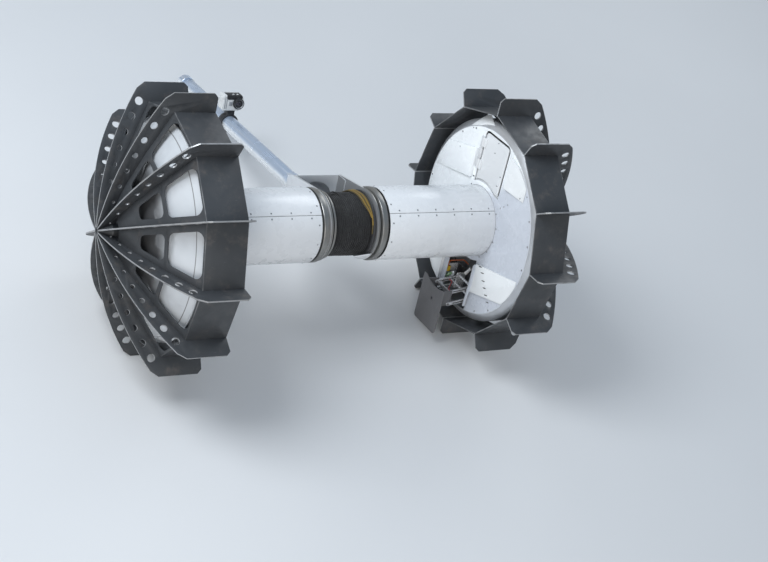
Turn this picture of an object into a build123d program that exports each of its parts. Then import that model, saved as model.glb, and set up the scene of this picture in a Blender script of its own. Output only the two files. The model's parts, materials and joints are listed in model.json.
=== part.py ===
"""Two-wheeled planetary rover prototype, modelled as it stands on a flat floor.

The origin is the middle of the axle. +X runs along the axle to the rover's right,
+Y points backward, to the side of the boom, and +Z points up. The wheels stand on
two paddles each and the boom's tip rests on the floor behind them.
"""
import os
from math import asin, atan2, cos, degrees, hypot, radians, sin, sqrt, tan

from build123d import *

# Wheels
wheel_radius = 380            # to the paddles' tips
fin_count = 12
fin_thickness = 4
panel_thickness = 3
paddle_inboard_x = 431        # the paddles' inboard edges
paddle_width = 120            # along the tips
paddle_corner = 11
paddle_shoulder = (573, 364)  # x, radius where the paddle's top rounds into the rib
rib_belly = (659, 189)        # x, radius half way down the rib
hub_tip_x = 700
hub_tip_radius = 10
hub_nose_x = 668
hub_barrel_radius = 34
hub_barrel_length = 49
hub_thread_radius = 5         # threaded hole in each hub's nose
hub_thread_depth = 24
hub_nose_gap = 2              # between the axle stub's end and the hub
fin_lip = 4                   # how far a fin reaches in past its panels
rim_apothem = 318             # flat of the rim panels, from the axle
rim_outboard_x = 543
gore_folds = ((600, 213), (642, 125), (664, 60))   # x, apothem at each fold
window_margin = 20            # from the fin's middle to a gore window
window_bar = 6                # bar left at each end of a window
window_corner = 20
inner_window_share = 0.93     # of the second facet's length
rib_hole_count = 8
rib_hole_inset = 21
rib_hole_spacing = 46
rib_hole_first = 27
rib_hole_largest = 22
rib_hole_smallest = 6

# Axle tubes, shaft and spool
tube_radius = 103
tube_wall = 3
tube_start_x = 106
fairing_radius = 15
shaft_radius = 30
shaft_bore = 22
shaft_half_length = 140
running_gap = 0.05
end_ring_x = 82
spool_half_width = 64
spool_flange = 6
spool_flange_radius = 94
spool_core_radius = 45
winding_radius = 90
winding_edge_radius = 83
block_side = 141              # batteries and drives in each tube, as one block
block_length = 170

# Wheel wells
well_face_x = 452
well_sheet = 3
well_flat_radius = 272        # of the flat cover
cover_gap = 0.1               # between the cover's edge and the rim it is riveted to
well_bevel_x = 15
well_radius = 294
skirt_end_x = 535
dome_seam = 0.5               # between the rim's skirt and the dome
dome_belly = (588, 208)
dome_nose = (616, 106)
stub_radius = 20
stub_hole_radius = 26
stub_flange_radius = 45
stub_flange = 12
stub_end_x = 662

# Doors and bays, in the bay's own axes: e away from the axle, g along the chord
bay_turn = 29.7               # the lower bay's e axis from straight down
instrument_bay = ("right", "lower")
door_hinge_edge_g = -50
door_outer_e = 256
door_far_g = 69
door_corner_radius = 10
door_foot_gap = 5             # from the tube's fairing to the door's curved foot
door_swing_gap = 7            # least, from the tube to a door that swings past it
door_gap = 6
hinge_radius = 4
hinge_pin_radius = 2
hinge_reach = (142, 238)      # along e
hinge_leaf_depth = 14
hinge_knuckle_gap = 5
hinge_rise = 4
near_band = ((106, -70), (197, -70), (146, -258), (62, -262))
far_band = ((150, 96), (245, 96), (215, 190), (150, 228))
band_rise = 9
band_end_rise = 2

# Instrument linkage in the lower right bay
link_length = 80
link_spread = 32
link_pivot_e = 205
link_rest_angle = 170         # from straight outboard, towards e
lug_depth = 26
lug_thickness = 3
lug_offset = 39.5
lug_radius = 9
bar_thickness = 5
bar_width = 10
inner_bar_offset = 34
outer_bar_offset = 45
pivot_radius = 4
plate_pin_radius = 3
pin_overhang = 1
open_pivot_gap = 0.5          # round the plate's outer pins
plate_hole = (163, 5)         # e and g, with the plate swung in
plate_hole_radius = 5
frame_plate_x = 500
frame_reach = (190, 250)
frame_leg_g = (-62, 88)
instrument_box = (72, 48, 55)  # along e, g and X
instrument_box_x = 490
lead_radius = 1.3
lead_bend = 8
link_lead_x = (440, 410)      # where the lead between the inner bars meets them
connector_box = (14, 16, 8)   # X, e and g, inside the frame's far leg
connector_corner = (456, 196)
bay_lead = ((463, 178, 84), (497, 166, 62))   # its bends on the way to the instrument

# Yoke, boom and camera, in the boom's own axes: b along the boom, n square to it
boom_raise = 26.9             # above the well covers' level line
boom_radius = 24
boom_wall = 3
seat_gap = 0.05               # between the boom and what is clamped on it
boom_end = 1092
tip_radius = 27
tip_end = 1130
tip_rounding = 12
tip_plug = 32
tether_eye_radius = 6
cheek_x = 70
cheek_thickness = 6
cheek_radius = 99
yoke_mouth_b = 120
yoke_waist_b = 165
yoke_end_b = 283
yoke_half_height = 77
yoke_end_half = 26
yoke_sheet = 3
yoke_window_radius = 57
socket_radius = 27
socket_length = 26
camera_b = 765
camera_size = (70, 36, 50)    # along X, b and n
camera_stand = 20
camera_corner = 6
clamp_radius = 30
clamp_width = 24
lens_radius = 18
lens_depth = 10
lens_x = 16

floor_gap = 0.3
boss_gap = 0.1

# What follows from the sizes
half_step = 180 / fin_count
cos_half, tan_half = cos(radians(half_step)), tan(radians(half_step))
stance_height = wheel_radius * cos_half + fin_thickness / 2 * sin(radians(half_step))
tip_arc_b, tip_arc_n = tip_end - tip_rounding, tip_radius - tip_rounding
boom_dip = degrees(
    asin((stance_height - floor_gap - tip_rounding) / hypot(tip_arc_b, tip_arc_n))
    - atan2(tip_arc_n, tip_arc_b)
)
body_pitch = boom_raise + boom_dip
sides = {"left": -1, "right": 1}

body_back = Vector(0, cos(radians(body_pitch)), -sin(radians(body_pitch)))
body_up = Vector(0, sin(radians(body_pitch)), cos(radians(body_pitch)))
boom_along = Vector(0, cos(radians(boom_dip)), -sin(radians(boom_dip)))
axle_way = Vector(1, 0, 0)


def bay_axis(bay):
    """Direction of a bay's e axis: the lower bay points down and back."""
    turn = radians(bay_turn)
    lower = body_back * sin(turn) - body_up * cos(turn)
    return lower if bay == "lower" else lower * -1


def bay_plane(x, bay):
    """Plane square to the axle whose sketches are drawn in a bay's e and g."""
    return Plane(origin=(x, 0, 0), x_dir=bay_axis(bay), z_dir=axle_way)


def bay_section(e, bay, side):
    """Plane square to a bay's e axis, drawn in distance inboard of the well face and g."""
    g_axis = axle_way.cross(bay_axis(bay))
    corner = Vector(side * well_face_x, 0, 0) + bay_axis(bay) * e
    return Plane(origin=corner, x_dir=axle_way * -side, z_dir=(axle_way * -side).cross(g_axis))


def boom_plane(x):
    """Plane square to the axle whose sketches are drawn in the boom's b and n."""
    return Plane(origin=(x, 0, 0), x_dir=boom_along, z_dir=axle_way)


def boom_section(b):
    """Plane square to the boom at distance b from the axle, drawn in X and n."""
    return Plane(origin=boom_along * b, x_dir=axle_way, z_dir=boom_along * -1)


def turned(points, side=1):
    """Revolve a closed outline of x, radius points about the axle."""
    with BuildSketch(Plane.XY) as outline:
        with BuildLine():
            Polyline(*[(side * x, radius) for x, radius in points], close=True)
        make_face()
    revolve(outline.sketch, axis=Axis.X)


def bar(plane, start, end, width, amount):
    """A straight round-ended link drawn between two pivots of a plane."""
    middle = ((start[0] + end[0]) / 2, (start[1] + end[1]) / 2)
    run = (end[0] - start[0], end[1] - start[1])
    with BuildSketch(plane) as outline:
        with Locations(Location((middle[0], middle[1], 0), (0, 0, degrees(atan2(run[1], run[0]))))):
            SlotCenterToCenter(hypot(*run), width)
    extrude(outline.sketch, amount=amount)


def inset(points, depth):
    """Points of an x, apothem polyline moved towards the axle, mitred at its folds."""
    moved = []
    for i, (x, apothem) in enumerate(points):
        normals = []
        for start, end in zip(points[max(i - 1, 0):i + 1], points[max(i, 1):i + 2]):
            run = (end[0] - start[0], end[1] - start[1])
            size = hypot(*run)
            normals.append((run[1] / size, -run[0] / size))
        nx, ny = sum(n[0] for n in normals) / len(normals), sum(n[1] for n in normals) / len(normals)
        stretch = depth / (nx * nx + ny * ny)
        moved.append((x + nx * stretch, apothem + ny * stretch))
    return moved


def keep(part_builder, label):
    """Label a finished piece and write it out."""
    part_builder.part.label = label
    export_step(part_builder.part, f"parts/{label}.step")


os.makedirs("parts", exist_ok=True)

# Wheels: twelve rib plates, the folded panels between them and a turned hub
gore_line = ((paddle_inboard_x, rim_apothem), (rim_outboard_x, rim_apothem)) + gore_folds
barrel_start_x = hub_nose_x - hub_barrel_length
paddle_outboard_x = paddle_inboard_x + paddle_width


def draw_rib(side):
    """One rib plate in the XZ plane, standing straight up."""
    inner = [(x - fin_lip, apothem / cos_half - fin_lip) for x, apothem in gore_line[1:]]
    rim_inner = (paddle_inboard_x, rim_apothem / cos_half - fin_lip)
    with BuildSketch(Plane.XZ) as outline:
        with BuildLine():
            ThreePointArc(
                (side * hub_tip_x, hub_tip_radius),
                (side * rib_belly[0], rib_belly[1]),
                (side * paddle_shoulder[0], paddle_shoulder[1]),
            )
            Polyline(*[(side * x, z) for x, z in (
                paddle_shoulder,
                (paddle_outboard_x, wheel_radius),
                (paddle_inboard_x + paddle_corner, wheel_radius),
                (paddle_inboard_x, wheel_radius - paddle_corner),
                rim_inner,
                *inner,
                (inner[-1][0], hub_barrel_radius),
                (hub_nose_x, hub_barrel_radius),
                (hub_tip_x, hub_tip_radius),
            )])
        make_face()
    extrude(outline.sketch, amount=fin_thickness / 2, both=True)
    rib_edge = ThreePointArc(
        (side * paddle_shoulder[0], paddle_shoulder[1]),
        (side * rib_belly[0], rib_belly[1]),
        (side * hub_tip_x, hub_tip_radius),
        mode=Mode.PRIVATE,
    )
    shrink = (rib_hole_largest - rib_hole_smallest) / (rib_hole_count - 1)
    for i in range(rib_hole_count):
        share = (rib_hole_first + i * rib_hole_spacing) / rib_edge.length
        spot, way = rib_edge.position_at(share), rib_edge.tangent_at(share)
        inward = Vector(-way.Y, way.X) * (side * -1)
        centre = Vector(spot.X, spot.Y) + inward * rib_hole_inset
        with BuildSketch(Plane.XZ) as hole:
            with Locations((centre.X, centre.Y)):
                Circle((rib_hole_largest - i * shrink) / 2)
        extrude(hole.sketch, amount=fin_thickness, both=True, mode=Mode.SUBTRACT)


def draw_panel(side):
    """One folded panel between two ribs, with its middle straight up."""
    fold = list(gore_line) + inset(gore_line, panel_thickness)[::-1]
    with BuildSketch(Plane.XZ) as section:
        with BuildLine():
            Polyline(*[(side * x, z) for x, z in fold], close=True)
        make_face()
    extrude(section.sketch, amount=wheel_radius / 2, both=True)
    wedge_start = fin_thickness / 2 / sin(radians(half_step))
    half_chord = (wheel_radius - wedge_start) * tan_half
    with BuildSketch(Plane.YZ.offset(side * paddle_inboard_x)) as wedge:
        with BuildLine():
            Polyline((0, wedge_start), (half_chord, wheel_radius), (-half_chord, wheel_radius), close=True)
        make_face()
    extrude(wedge.sketch, amount=side * (hub_tip_x - paddle_inboard_x), mode=Mode.INTERSECT)
    for (start, end), reach in zip(
        ((gore_line[1], gore_line[2]), (gore_line[2], gore_line[3])), (1, inner_window_share)
    ):
        run = (end[0] - start[0], end[1] - start[1])
        length = hypot(*run)
        facet = Plane(
            origin=(side * start[0], 0, start[1]),
            x_dir=(side * run[0], 0, run[1]),
            z_dir=Vector(side * run[0], 0, run[1]).cross(Vector(0, 1, 0)),
        )
        near, far = window_bar, length * reach - window_bar
        widths = [(start[1] + run[1] * s / length) * tan_half - window_margin for s in (near, far)]
        with BuildSketch(facet) as window:
            with BuildLine():
                Polyline(
                    (near, -widths[0]), (near, widths[0]), (far, widths[1]), (far, -widths[1]),
                    close=True,
                )
            make_face()
            fillet(window.vertices(), radius=min(window_corner, widths[1] * 0.8))
        extrude(window.sketch, amount=4 * panel_thickness, both=True, mode=Mode.SUBTRACT)


for name, side in sides.items():
    with BuildPart() as rib:
        draw_rib(side)
    with BuildPart() as ribs:
        for i in range(fin_count):
            with Locations(Location((0, 0, 0), (half_step * (2 * i + 1), 0, 0))):
                add(rib.part)
    keep(ribs, f"wheel_{name}_ribs")

    with BuildPart() as panel:
        draw_panel(side)
    with BuildPart() as panels:
        for i in range(fin_count):
            with Locations(Location((0, 0, 0), (half_step * 2 * i, 0, 0))):
                add(panel.part)
    keep(panels, f"wheel_{name}_panels")

    with BuildPart() as hub:
        turned((
            (barrel_start_x, stub_radius + running_gap),
            (barrel_start_x, hub_barrel_radius),
            (hub_nose_x, hub_barrel_radius),
            (hub_tip_x, hub_tip_radius),
            (hub_tip_x, 0),
            (stub_end_x + hub_nose_gap, 0),
            (stub_end_x + hub_nose_gap, stub_radius + running_gap),
        ), side)
        with BuildSketch(Plane.YZ.offset(side * hub_tip_x)):
            Circle(hub_thread_radius)
        extrude(amount=-side * hub_thread_depth, mode=Mode.SUBTRACT)
    keep(hub, f"wheel_{name}_hub")


def door_outline(grow=0):
    """A door with its curved foot round the tube, or its opening when grown by the gap."""
    foot = tube_radius + fairing_radius + door_foot_gap - grow
    outer_e, least_e = door_outer_e + grow, tube_radius + door_swing_gap - grow
    hinge_edge_g, far_g = door_hinge_edge_g - grow, door_far_g + grow
    hinge_foot = (sqrt(foot ** 2 - hinge_edge_g ** 2), hinge_edge_g)
    far_foot = (least_e, sqrt(foot ** 2 - least_e ** 2))
    with BuildSketch() as outline:
        with BuildLine():
            Polyline(
                hinge_foot, (outer_e, hinge_edge_g), (outer_e, far_g), (least_e, far_g), far_foot
            )
            ThreePointArc(far_foot, (foot, 0), hinge_foot)
        make_face()
        fillet(outline.vertices().group_by(Axis.X)[-1], radius=door_corner_radius + grow)
    return outline.sketch


def sloped_band(side, bay, outline):
    """A flat band on the well cover, highest beside the bay and low at the cover's edge."""
    near_g, far_g = outline[0][1], outline[2][1]
    low_e, high_e = min(e for e, g in outline), max(e for e, g in outline)
    with BuildPart() as band:
        with BuildSketch(bay_plane(side * well_face_x, bay)):
            with BuildLine():
                Polyline(*outline, close=True)
            make_face()
        extrude(amount=-side * band_rise)
        slope = bay_section(low_e, bay, side)
        with BuildSketch(slope):
            with BuildLine():
                Polyline((0, near_g), (band_rise, near_g), (band_end_rise, far_g), (0, far_g), close=True)
            make_face()
        way = bay_axis(bay).dot(slope.z_dir)
        extrude(amount=(high_e - low_e) * way, mode=Mode.INTERSECT)
    return band.part


# Body: tubes, wheel wells and the stubs that carry the wheels
for name, side in sides.items():
    with BuildPart() as tube:
        with BuildSketch(Plane.XY):
            with BuildLine():
                flare_x = well_face_x - fairing_radius
                Polyline(*[(side * x, y) for x, y in (
                    (flare_x, tube_radius),
                    (tube_start_x, tube_radius),
                    (tube_start_x, tube_radius - tube_wall),
                    (well_face_x, tube_radius - tube_wall),
                    (well_face_x, tube_radius + fairing_radius),
                )])
                flare_middle = fairing_radius * (1 - cos(radians(45)))
                ThreePointArc(
                    (side * flare_x, tube_radius),
                    (side * (well_face_x - flare_middle), tube_radius + flare_middle),
                    (side * well_face_x, tube_radius + fairing_radius),
                )
            make_face()
        revolve(axis=Axis.X)
    keep(tube, f"axle_tube_{name}")

    with BuildPart() as cover:
        with BuildSketch(Plane.YZ.offset(side * well_face_x)):
            Circle(well_flat_radius - cover_gap)
            Circle(tube_radius - tube_wall, mode=Mode.SUBTRACT)
        extrude(amount=side * well_sheet)
        for bay in ("lower", "upper"):
            with BuildSketch(bay_plane(side * well_face_x, bay)):
                add(door_outline(door_gap))
                if (name, bay) == instrument_bay:
                    width = door_far_g - door_hinge_edge_g + 2 * door_gap
                    with Locations((door_outer_e, (door_hinge_edge_g + door_far_g) / 2)):
                        Rectangle(2 * (well_radius - door_outer_e), width)
            extrude(amount=side * well_sheet, mode=Mode.SUBTRACT)
    keep(cover, f"well_cover_{name}")

    with BuildPart() as rim:
        bevel_end_x = well_face_x + well_bevel_x
        turned((
            (well_face_x, well_flat_radius),
            (bevel_end_x, well_radius),
            (skirt_end_x - dome_seam, well_radius),
            (skirt_end_x - dome_seam, well_radius - well_sheet),
            (bevel_end_x + well_sheet, well_radius - well_sheet),
            (well_face_x + well_sheet, well_flat_radius),
        ), side)
    keep(rim, f"well_rim_{name}")

    with BuildPart() as dome:
        outer = ((skirt_end_x, well_radius), dome_belly, dome_nose)
        nose_x = dome_nose[0] - well_sheet
        chord = Vector(dome_nose[0] - skirt_end_x, dome_nose[1] - well_radius).normalized()
        inner_belly = (dome_belly[0] + chord.Y * well_sheet, dome_belly[1] - chord.X * well_sheet)
        inner = ((skirt_end_x, well_radius - well_sheet), inner_belly, (nose_x, dome_nose[1]))
        with BuildSketch(Plane.XY):
            with BuildLine():
                ThreePointArc(*[(side * x, y) for x, y in outer])
                ThreePointArc(*[(side * x, y) for x, y in inner])
                Line((side * outer[0][0], outer[0][1]), (side * inner[0][0], inner[0][1]))
                Polyline(*[(side * x, y) for x, y in (
                    dome_nose, (dome_nose[0], stub_hole_radius), (nose_x, stub_hole_radius), inner[2]
                )])
            make_face()
        revolve(axis=Axis.X)
    keep(dome, f"well_dome_{name}")

    with BuildPart() as stub:
        flange_end_x = dome_nose[0] - well_sheet
        turned((
            (flange_end_x - stub_flange, 0),
            (flange_end_x - stub_flange, stub_flange_radius),
            (flange_end_x, stub_flange_radius),
            (flange_end_x, stub_hole_radius - boss_gap),
            (dome_nose[0], stub_hole_radius - boss_gap),
            (dome_nose[0], stub_radius),
            (stub_end_x, stub_radius),
            (stub_end_x, 0),
        ), side)
    keep(stub, f"axle_stub_{name}")

    with BuildPart() as ring:
        turned((
            (end_ring_x, shaft_radius),
            (end_ring_x, tube_radius),
            (tube_start_x, tube_radius),
            (tube_start_x, shaft_radius),
        ), side)
    keep(ring, f"end_ring_{name}")

    with BuildPart() as block:
        with BuildSketch(Plane.YZ.offset(side * shaft_half_length)):
            Rectangle(block_side, block_side)
        extrude(amount=side * block_length)
    keep(block, f"battery_block_{name}")

    with BuildPart() as bands:
        for bay in ("lower", "upper"):
            for outline in (near_band, far_band):
                add(sloped_band(side, bay, outline))
        with BuildSketch(Plane.YZ.offset(side * well_face_x)):
            Circle(well_flat_radius - 2)
        extrude(amount=-side * band_rise, mode=Mode.INTERSECT)
    keep(bands, f"cover_bands_{name}")

with BuildPart() as shaft:
    with BuildSketch(Plane.YZ.offset(-shaft_half_length)):
        Circle(shaft_radius)
        Circle(shaft_bore, mode=Mode.SUBTRACT)
    extrude(amount=2 * shaft_half_length)
keep(shaft, "centre_shaft")

# Tether spool
with BuildPart() as spool:
    turned((
        (-spool_half_width, shaft_radius + running_gap),
        (-spool_half_width, spool_flange_radius),
        (-spool_half_width + spool_flange, spool_flange_radius),
        (-spool_half_width + spool_flange, spool_core_radius),
        (spool_half_width - spool_flange, spool_core_radius),
        (spool_half_width - spool_flange, spool_flange_radius),
        (spool_half_width, spool_flange_radius),
        (spool_half_width, shaft_radius + running_gap),
    ))
keep(spool, "spool_drum")

with BuildPart() as winding:
    half_winding = spool_half_width - spool_flange
    with BuildSketch(Plane.XY):
        with BuildLine():
            Polyline(
                (half_winding, winding_edge_radius),
                (half_winding, spool_core_radius),
                (-half_winding, spool_core_radius),
                (-half_winding, winding_edge_radius),
            )
            ThreePointArc(
                (-half_winding, winding_edge_radius),
                (0, winding_radius),
                (half_winding, winding_edge_radius),
            )
        make_face()
    revolve(axis=Axis.X)
keep(winding, "tether_winding")

# Doors that are shut, each on a hinge along its straight edge
hinge_g = door_hinge_edge_g - door_gap / 2
knuckle_length = (hinge_reach[1] - hinge_reach[0]) * 0.3
door_places = [
    (name, bay) for name in sides for bay in ("upper", "lower") if (name, bay) != instrument_bay
]


def hinge_rod(side, bay, start_e, end_e, radius, mode=Mode.ADD):
    """A round rod on a door's hinge axis."""
    with BuildSketch(bay_section(start_e, bay, side)) as rod:
        with Locations((hinge_rise, hinge_g)):
            Circle(radius)
    way = bay_axis(bay).dot(bay_section(start_e, bay, side).z_dir)
    extrude(rod.sketch, amount=(end_e - start_e) * way, mode=mode)


def leaf(side, bay, start_e, end_e, start_g, end_g):
    """A flat leaf on the outside of the well cover."""
    with BuildSketch(bay_plane(side * well_face_x, bay)) as outline:
        with Locations(((start_e + end_e) / 2, (start_g + end_g) / 2)):
            Rectangle(end_e - start_e, end_g - start_g)
    extrude(outline.sketch, amount=-side * well_sheet)


hinges = []
for name, bay in door_places:
    side = sides[name]
    with BuildPart() as door:
        with BuildSketch(bay_plane(side * well_face_x, bay)):
            add(door_outline())
        extrude(amount=side * well_sheet)
        for start_e in (hinge_reach[0], hinge_reach[1] - knuckle_length):
            leaf(side, bay, start_e, start_e + knuckle_length, hinge_g, hinge_g + hinge_leaf_depth)
            hinge_rod(side, bay, start_e, start_e + knuckle_length, hinge_radius)
        for start_e in (hinge_reach[0], hinge_reach[1] - knuckle_length):
            hinge_rod(side, bay, start_e, start_e + knuckle_length,
                      hinge_pin_radius + running_gap, Mode.SUBTRACT)
    keep(door, f"bay_door_{name}_{bay}")

    with BuildPart() as hinge:
        knuckle_start = hinge_reach[0] + knuckle_length + hinge_knuckle_gap
        knuckle_end = hinge_reach[1] - knuckle_length - hinge_knuckle_gap
        leaf_end_g = hinge_g - hinge_radius - hinge_knuckle_gap
        leaf(side, bay, *hinge_reach, hinge_g - hinge_leaf_depth, leaf_end_g)
        leaf(side, bay, knuckle_start, knuckle_end, hinge_g - hinge_leaf_depth, hinge_g)
        hinge_rod(side, bay, knuckle_start, knuckle_end, hinge_radius)
        hinge_rod(side, bay, *hinge_reach, hinge_pin_radius)
    hinges.append(hinge.part)

with BuildPart() as door_hinges:
    for hinge_part in hinges:
        add(hinge_part)
keep(door_hinges, "door_hinges")

# Instrument on its parallel links, swung out of the lower right bay
pivot_x = well_face_x + lug_depth
swing = (link_length * cos(radians(link_rest_angle)), link_length * sin(radians(link_rest_angle)))
plate_shift = (swing[0], swing[1] + link_length)
inner_pivot = (pivot_x, link_pivot_e)
outer_pivot = (pivot_x, link_pivot_e + link_spread)


def link_plane(g):
    """Plane square to the link pivots, drawn in X and e, at distance g along the chord."""
    e_axis = bay_axis("lower")
    g_axis = axle_way.cross(e_axis)
    return Plane(origin=g_axis * g, x_dir=axle_way, z_dir=g_axis * -1)


def link_point(x, e):
    """Sketch point on a link plane: its second axis runs against e."""
    plane = link_plane(0)
    return (x, e * plane.y_dir.dot(bay_axis("lower")))


def disc(x, e, g, radius, length, mode=Mode.ADD):
    """A round pin along g, from g to g + length."""
    with BuildSketch(link_plane(g)) as pin:
        with Locations(link_point(x, e)):
            Circle(radius)
    extrude(pin.sketch, amount=-length, mode=mode)


def link(pivot, offset, far_bore):
    """A pair of bars joined by a cross shaft on their body pivot."""
    end = (pivot[0] + swing[0], pivot[1] + swing[1])
    for hand in (-1, 1):
        face = hand * offset - bar_thickness / 2
        bar(link_plane(face), link_point(*pivot), link_point(*end), bar_width, -bar_thickness)
        disc(*end, face, far_bore, bar_thickness, Mode.SUBTRACT)


with BuildPart() as inner_link:
    link(inner_pivot, inner_bar_offset, plate_pin_radius + running_gap)
    shaft_end = lug_offset + lug_thickness / 2
    disc(*inner_pivot, -shaft_end, pivot_radius, 2 * shaft_end)
keep(inner_link, "instrument_link_inner")

with BuildPart() as outer_link:
    link(outer_pivot, outer_bar_offset, plate_pin_radius + open_pivot_gap)
    shaft_end = outer_bar_offset + bar_thickness / 2
    disc(*outer_pivot, -shaft_end, pivot_radius, 2 * shaft_end)
keep(outer_link, "instrument_link_outer")

plate_inner_pin = (inner_pivot[0] + swing[0], inner_pivot[1] + swing[1])
plate_outer_pin = (outer_pivot[0] + swing[0], outer_pivot[1] + swing[1])
plate_x = well_face_x + plate_shift[0]

with BuildPart() as plate:
    with BuildSketch(bay_plane(plate_x, "lower")):
        with Locations((plate_shift[1], 0)):
            add(door_outline())
            with Locations(plate_hole):
                Circle(plate_hole_radius, mode=Mode.SUBTRACT)
    extrude(amount=well_sheet)
    for hand in (-1, 1):
        face = hand * lug_offset - lug_thickness / 2
        with BuildSketch(link_plane(face)):
            with BuildLine():
                low, high = plate_inner_pin[1] - lug_radius, plate_outer_pin[1] + lug_radius
                back = plate_inner_pin[0] + lug_radius
                Polyline(*[link_point(x, e) for x, e in (
                    (plate_x + well_sheet, low), (back, low), (back, high), (plate_x + well_sheet, high)
                )], close=True)
            make_face()
        extrude(amount=-lug_thickness)
        pin_length = outer_bar_offset + bar_thickness / 2 + pin_overhang - lug_offset
        pin_start = lug_offset if hand > 0 else -lug_offset - pin_length
        disc(*plate_outer_pin, pin_start, plate_pin_radius, pin_length)
    disc(*plate_inner_pin, -lug_offset, plate_pin_radius, 2 * lug_offset)
keep(plate, "instrument_plate")

with BuildPart() as bay_frame:
    frame_middle = (sum(frame_reach) / 2, (frame_leg_g[0] + frame_leg_g[1] + well_sheet) / 2)
    frame_width = frame_leg_g[1] + well_sheet - frame_leg_g[0]
    with BuildSketch(bay_plane(frame_plate_x, "lower")):
        with Locations(frame_middle):
            Rectangle(frame_reach[1] - frame_reach[0], frame_width)
    extrude(amount=well_sheet)
    for leg_g in frame_leg_g:
        with BuildSketch(bay_plane(well_face_x + well_sheet, "lower")):
            with Locations((frame_middle[0], leg_g + well_sheet / 2)):
                Rectangle(frame_reach[1] - frame_reach[0], well_sheet)
        extrude(amount=frame_plate_x - well_face_x - well_sheet)
    for hand in (-1, 1):
        face = hand * lug_offset - lug_thickness / 2
        with BuildSketch(link_plane(face)):
            with BuildLine():
                low, high = inner_pivot[1] - lug_radius, outer_pivot[1] + lug_radius
                Polyline(*[link_point(x, e) for x, e in (
                    (pivot_x - lug_radius, low), (frame_plate_x, low),
                    (frame_plate_x, high), (pivot_x - lug_radius, high)
                )], close=True)
            make_face()
        extrude(amount=-lug_thickness)
        for pivot in (inner_pivot, outer_pivot):
            disc(*pivot, face, pivot_radius + running_gap, lug_thickness, Mode.SUBTRACT)
keep(bay_frame, "bay_frame")

with BuildPart() as instrument:
    with BuildSketch(bay_plane(instrument_box_x, "lower")):
        with Locations((frame_reach[0] - instrument_box[0] / 2, 0)):
            Rectangle(instrument_box[0], instrument_box[1])
    extrude(amount=instrument_box[2])
keep(instrument, "instrument_body")

# Leads: one between the inner bars, one from a connector to the instrument
lower_e = bay_axis("lower")
lower_g = axle_way.cross(lower_e)


def draw_lead(points):
    """A round lead through points given in X, e and g, with rounded bends."""
    corners = [axle_way * x + lower_e * e + lower_g * g for x, e, g in points]
    with BuildPart() as wire:
        with BuildLine() as run:
            FilletPolyline(*corners, radius=lead_bend)
        with BuildSketch(Plane(origin=run.line @ 0, z_dir=run.line % 0)) as section:
            Circle(lead_radius)
        sweep(section.sketch, path=run.line)
    return wire


near_x, far_x = link_lead_x
near_e, far_e = [inner_pivot[1] + (x - pivot_x) * swing[1] / swing[0] for x in link_lead_x]
bar_face = inner_bar_offset - bar_thickness / 2
keep(draw_lead((
    (near_x, near_e, bar_face),
    (near_x, near_e, bar_face - 2 * lead_bend),
    (far_x, far_e, 2 * lead_bend - bar_face),
    (far_x, far_e, -bar_face),
)), "link_lead")

connector_x, connector_e = connector_corner
with BuildPart() as connector:
    with BuildSketch(bay_plane(connector_x, "lower")):
        with Locations((connector_e + connector_box[1] / 2, frame_leg_g[1] - connector_box[2] / 2)):
            Rectangle(connector_box[1], connector_box[2])
    extrude(amount=connector_box[0])
keep(connector, "lead_connector")

keep(draw_lead((
    (connector_x + connector_box[0] / 2, connector_e, frame_leg_g[1] - connector_box[2] / 2),
    *bay_lead,
    (bay_lead[-1][0], bay_lead[-1][1], instrument_box[1] / 2),
)), "bay_lead")

# Yoke and boom
for name, side in sides.items():
    with BuildPart() as cheek:
        with BuildSketch(boom_plane(side * cheek_x)):
            Circle(cheek_radius)
            with BuildLine():
                Polyline(
                    (0, cheek_radius), (yoke_waist_b, yoke_half_height),
                    (yoke_waist_b, -yoke_half_height), (0, -cheek_radius), close=True,
                )
            make_face()
            Circle(shaft_radius + running_gap, mode=Mode.SUBTRACT)
        extrude(amount=side * cheek_thickness)
    keep(cheek, f"yoke_cheek_{name}")

with BuildPart() as yoke:
    for shrink, mode in ((0, Mode.ADD), (yoke_sheet, Mode.SUBTRACT)):
        with BuildSketch(boom_section(yoke_mouth_b)):
            Rectangle(2 * (cheek_x - shrink), 2 * yoke_half_height)
        extrude(amount=-(yoke_waist_b - yoke_mouth_b), mode=mode)
        with BuildSketch(boom_section(yoke_waist_b)):
            Rectangle(2 * (cheek_x - shrink), 2 * (yoke_half_height - shrink))
        with BuildSketch(boom_section(yoke_end_b - shrink)):
            Rectangle(2 * (yoke_end_half - shrink), 2 * (yoke_end_half - shrink))
        loft(mode=mode)
    with BuildSketch(boom_section(yoke_waist_b)):
        Rectangle(2 * cheek_x, 2 * yoke_half_height)
        Circle(yoke_window_radius, mode=Mode.SUBTRACT)
    extrude(amount=yoke_sheet)
keep(yoke, "yoke_bridge")

with BuildPart() as socket:
    with BuildSketch(boom_section(yoke_end_b)):
        Circle(socket_radius)
        Circle(boom_radius + seat_gap, mode=Mode.SUBTRACT)
    extrude(amount=-socket_length)
keep(socket, "boom_socket")

with BuildPart() as boom:
    with BuildSketch(boom_section(yoke_end_b)):
        Circle(boom_radius)
        Circle(boom_radius - boom_wall, mode=Mode.SUBTRACT)
    extrude(amount=-(boom_end - yoke_end_b))
keep(boom, "boom_tube")

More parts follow.
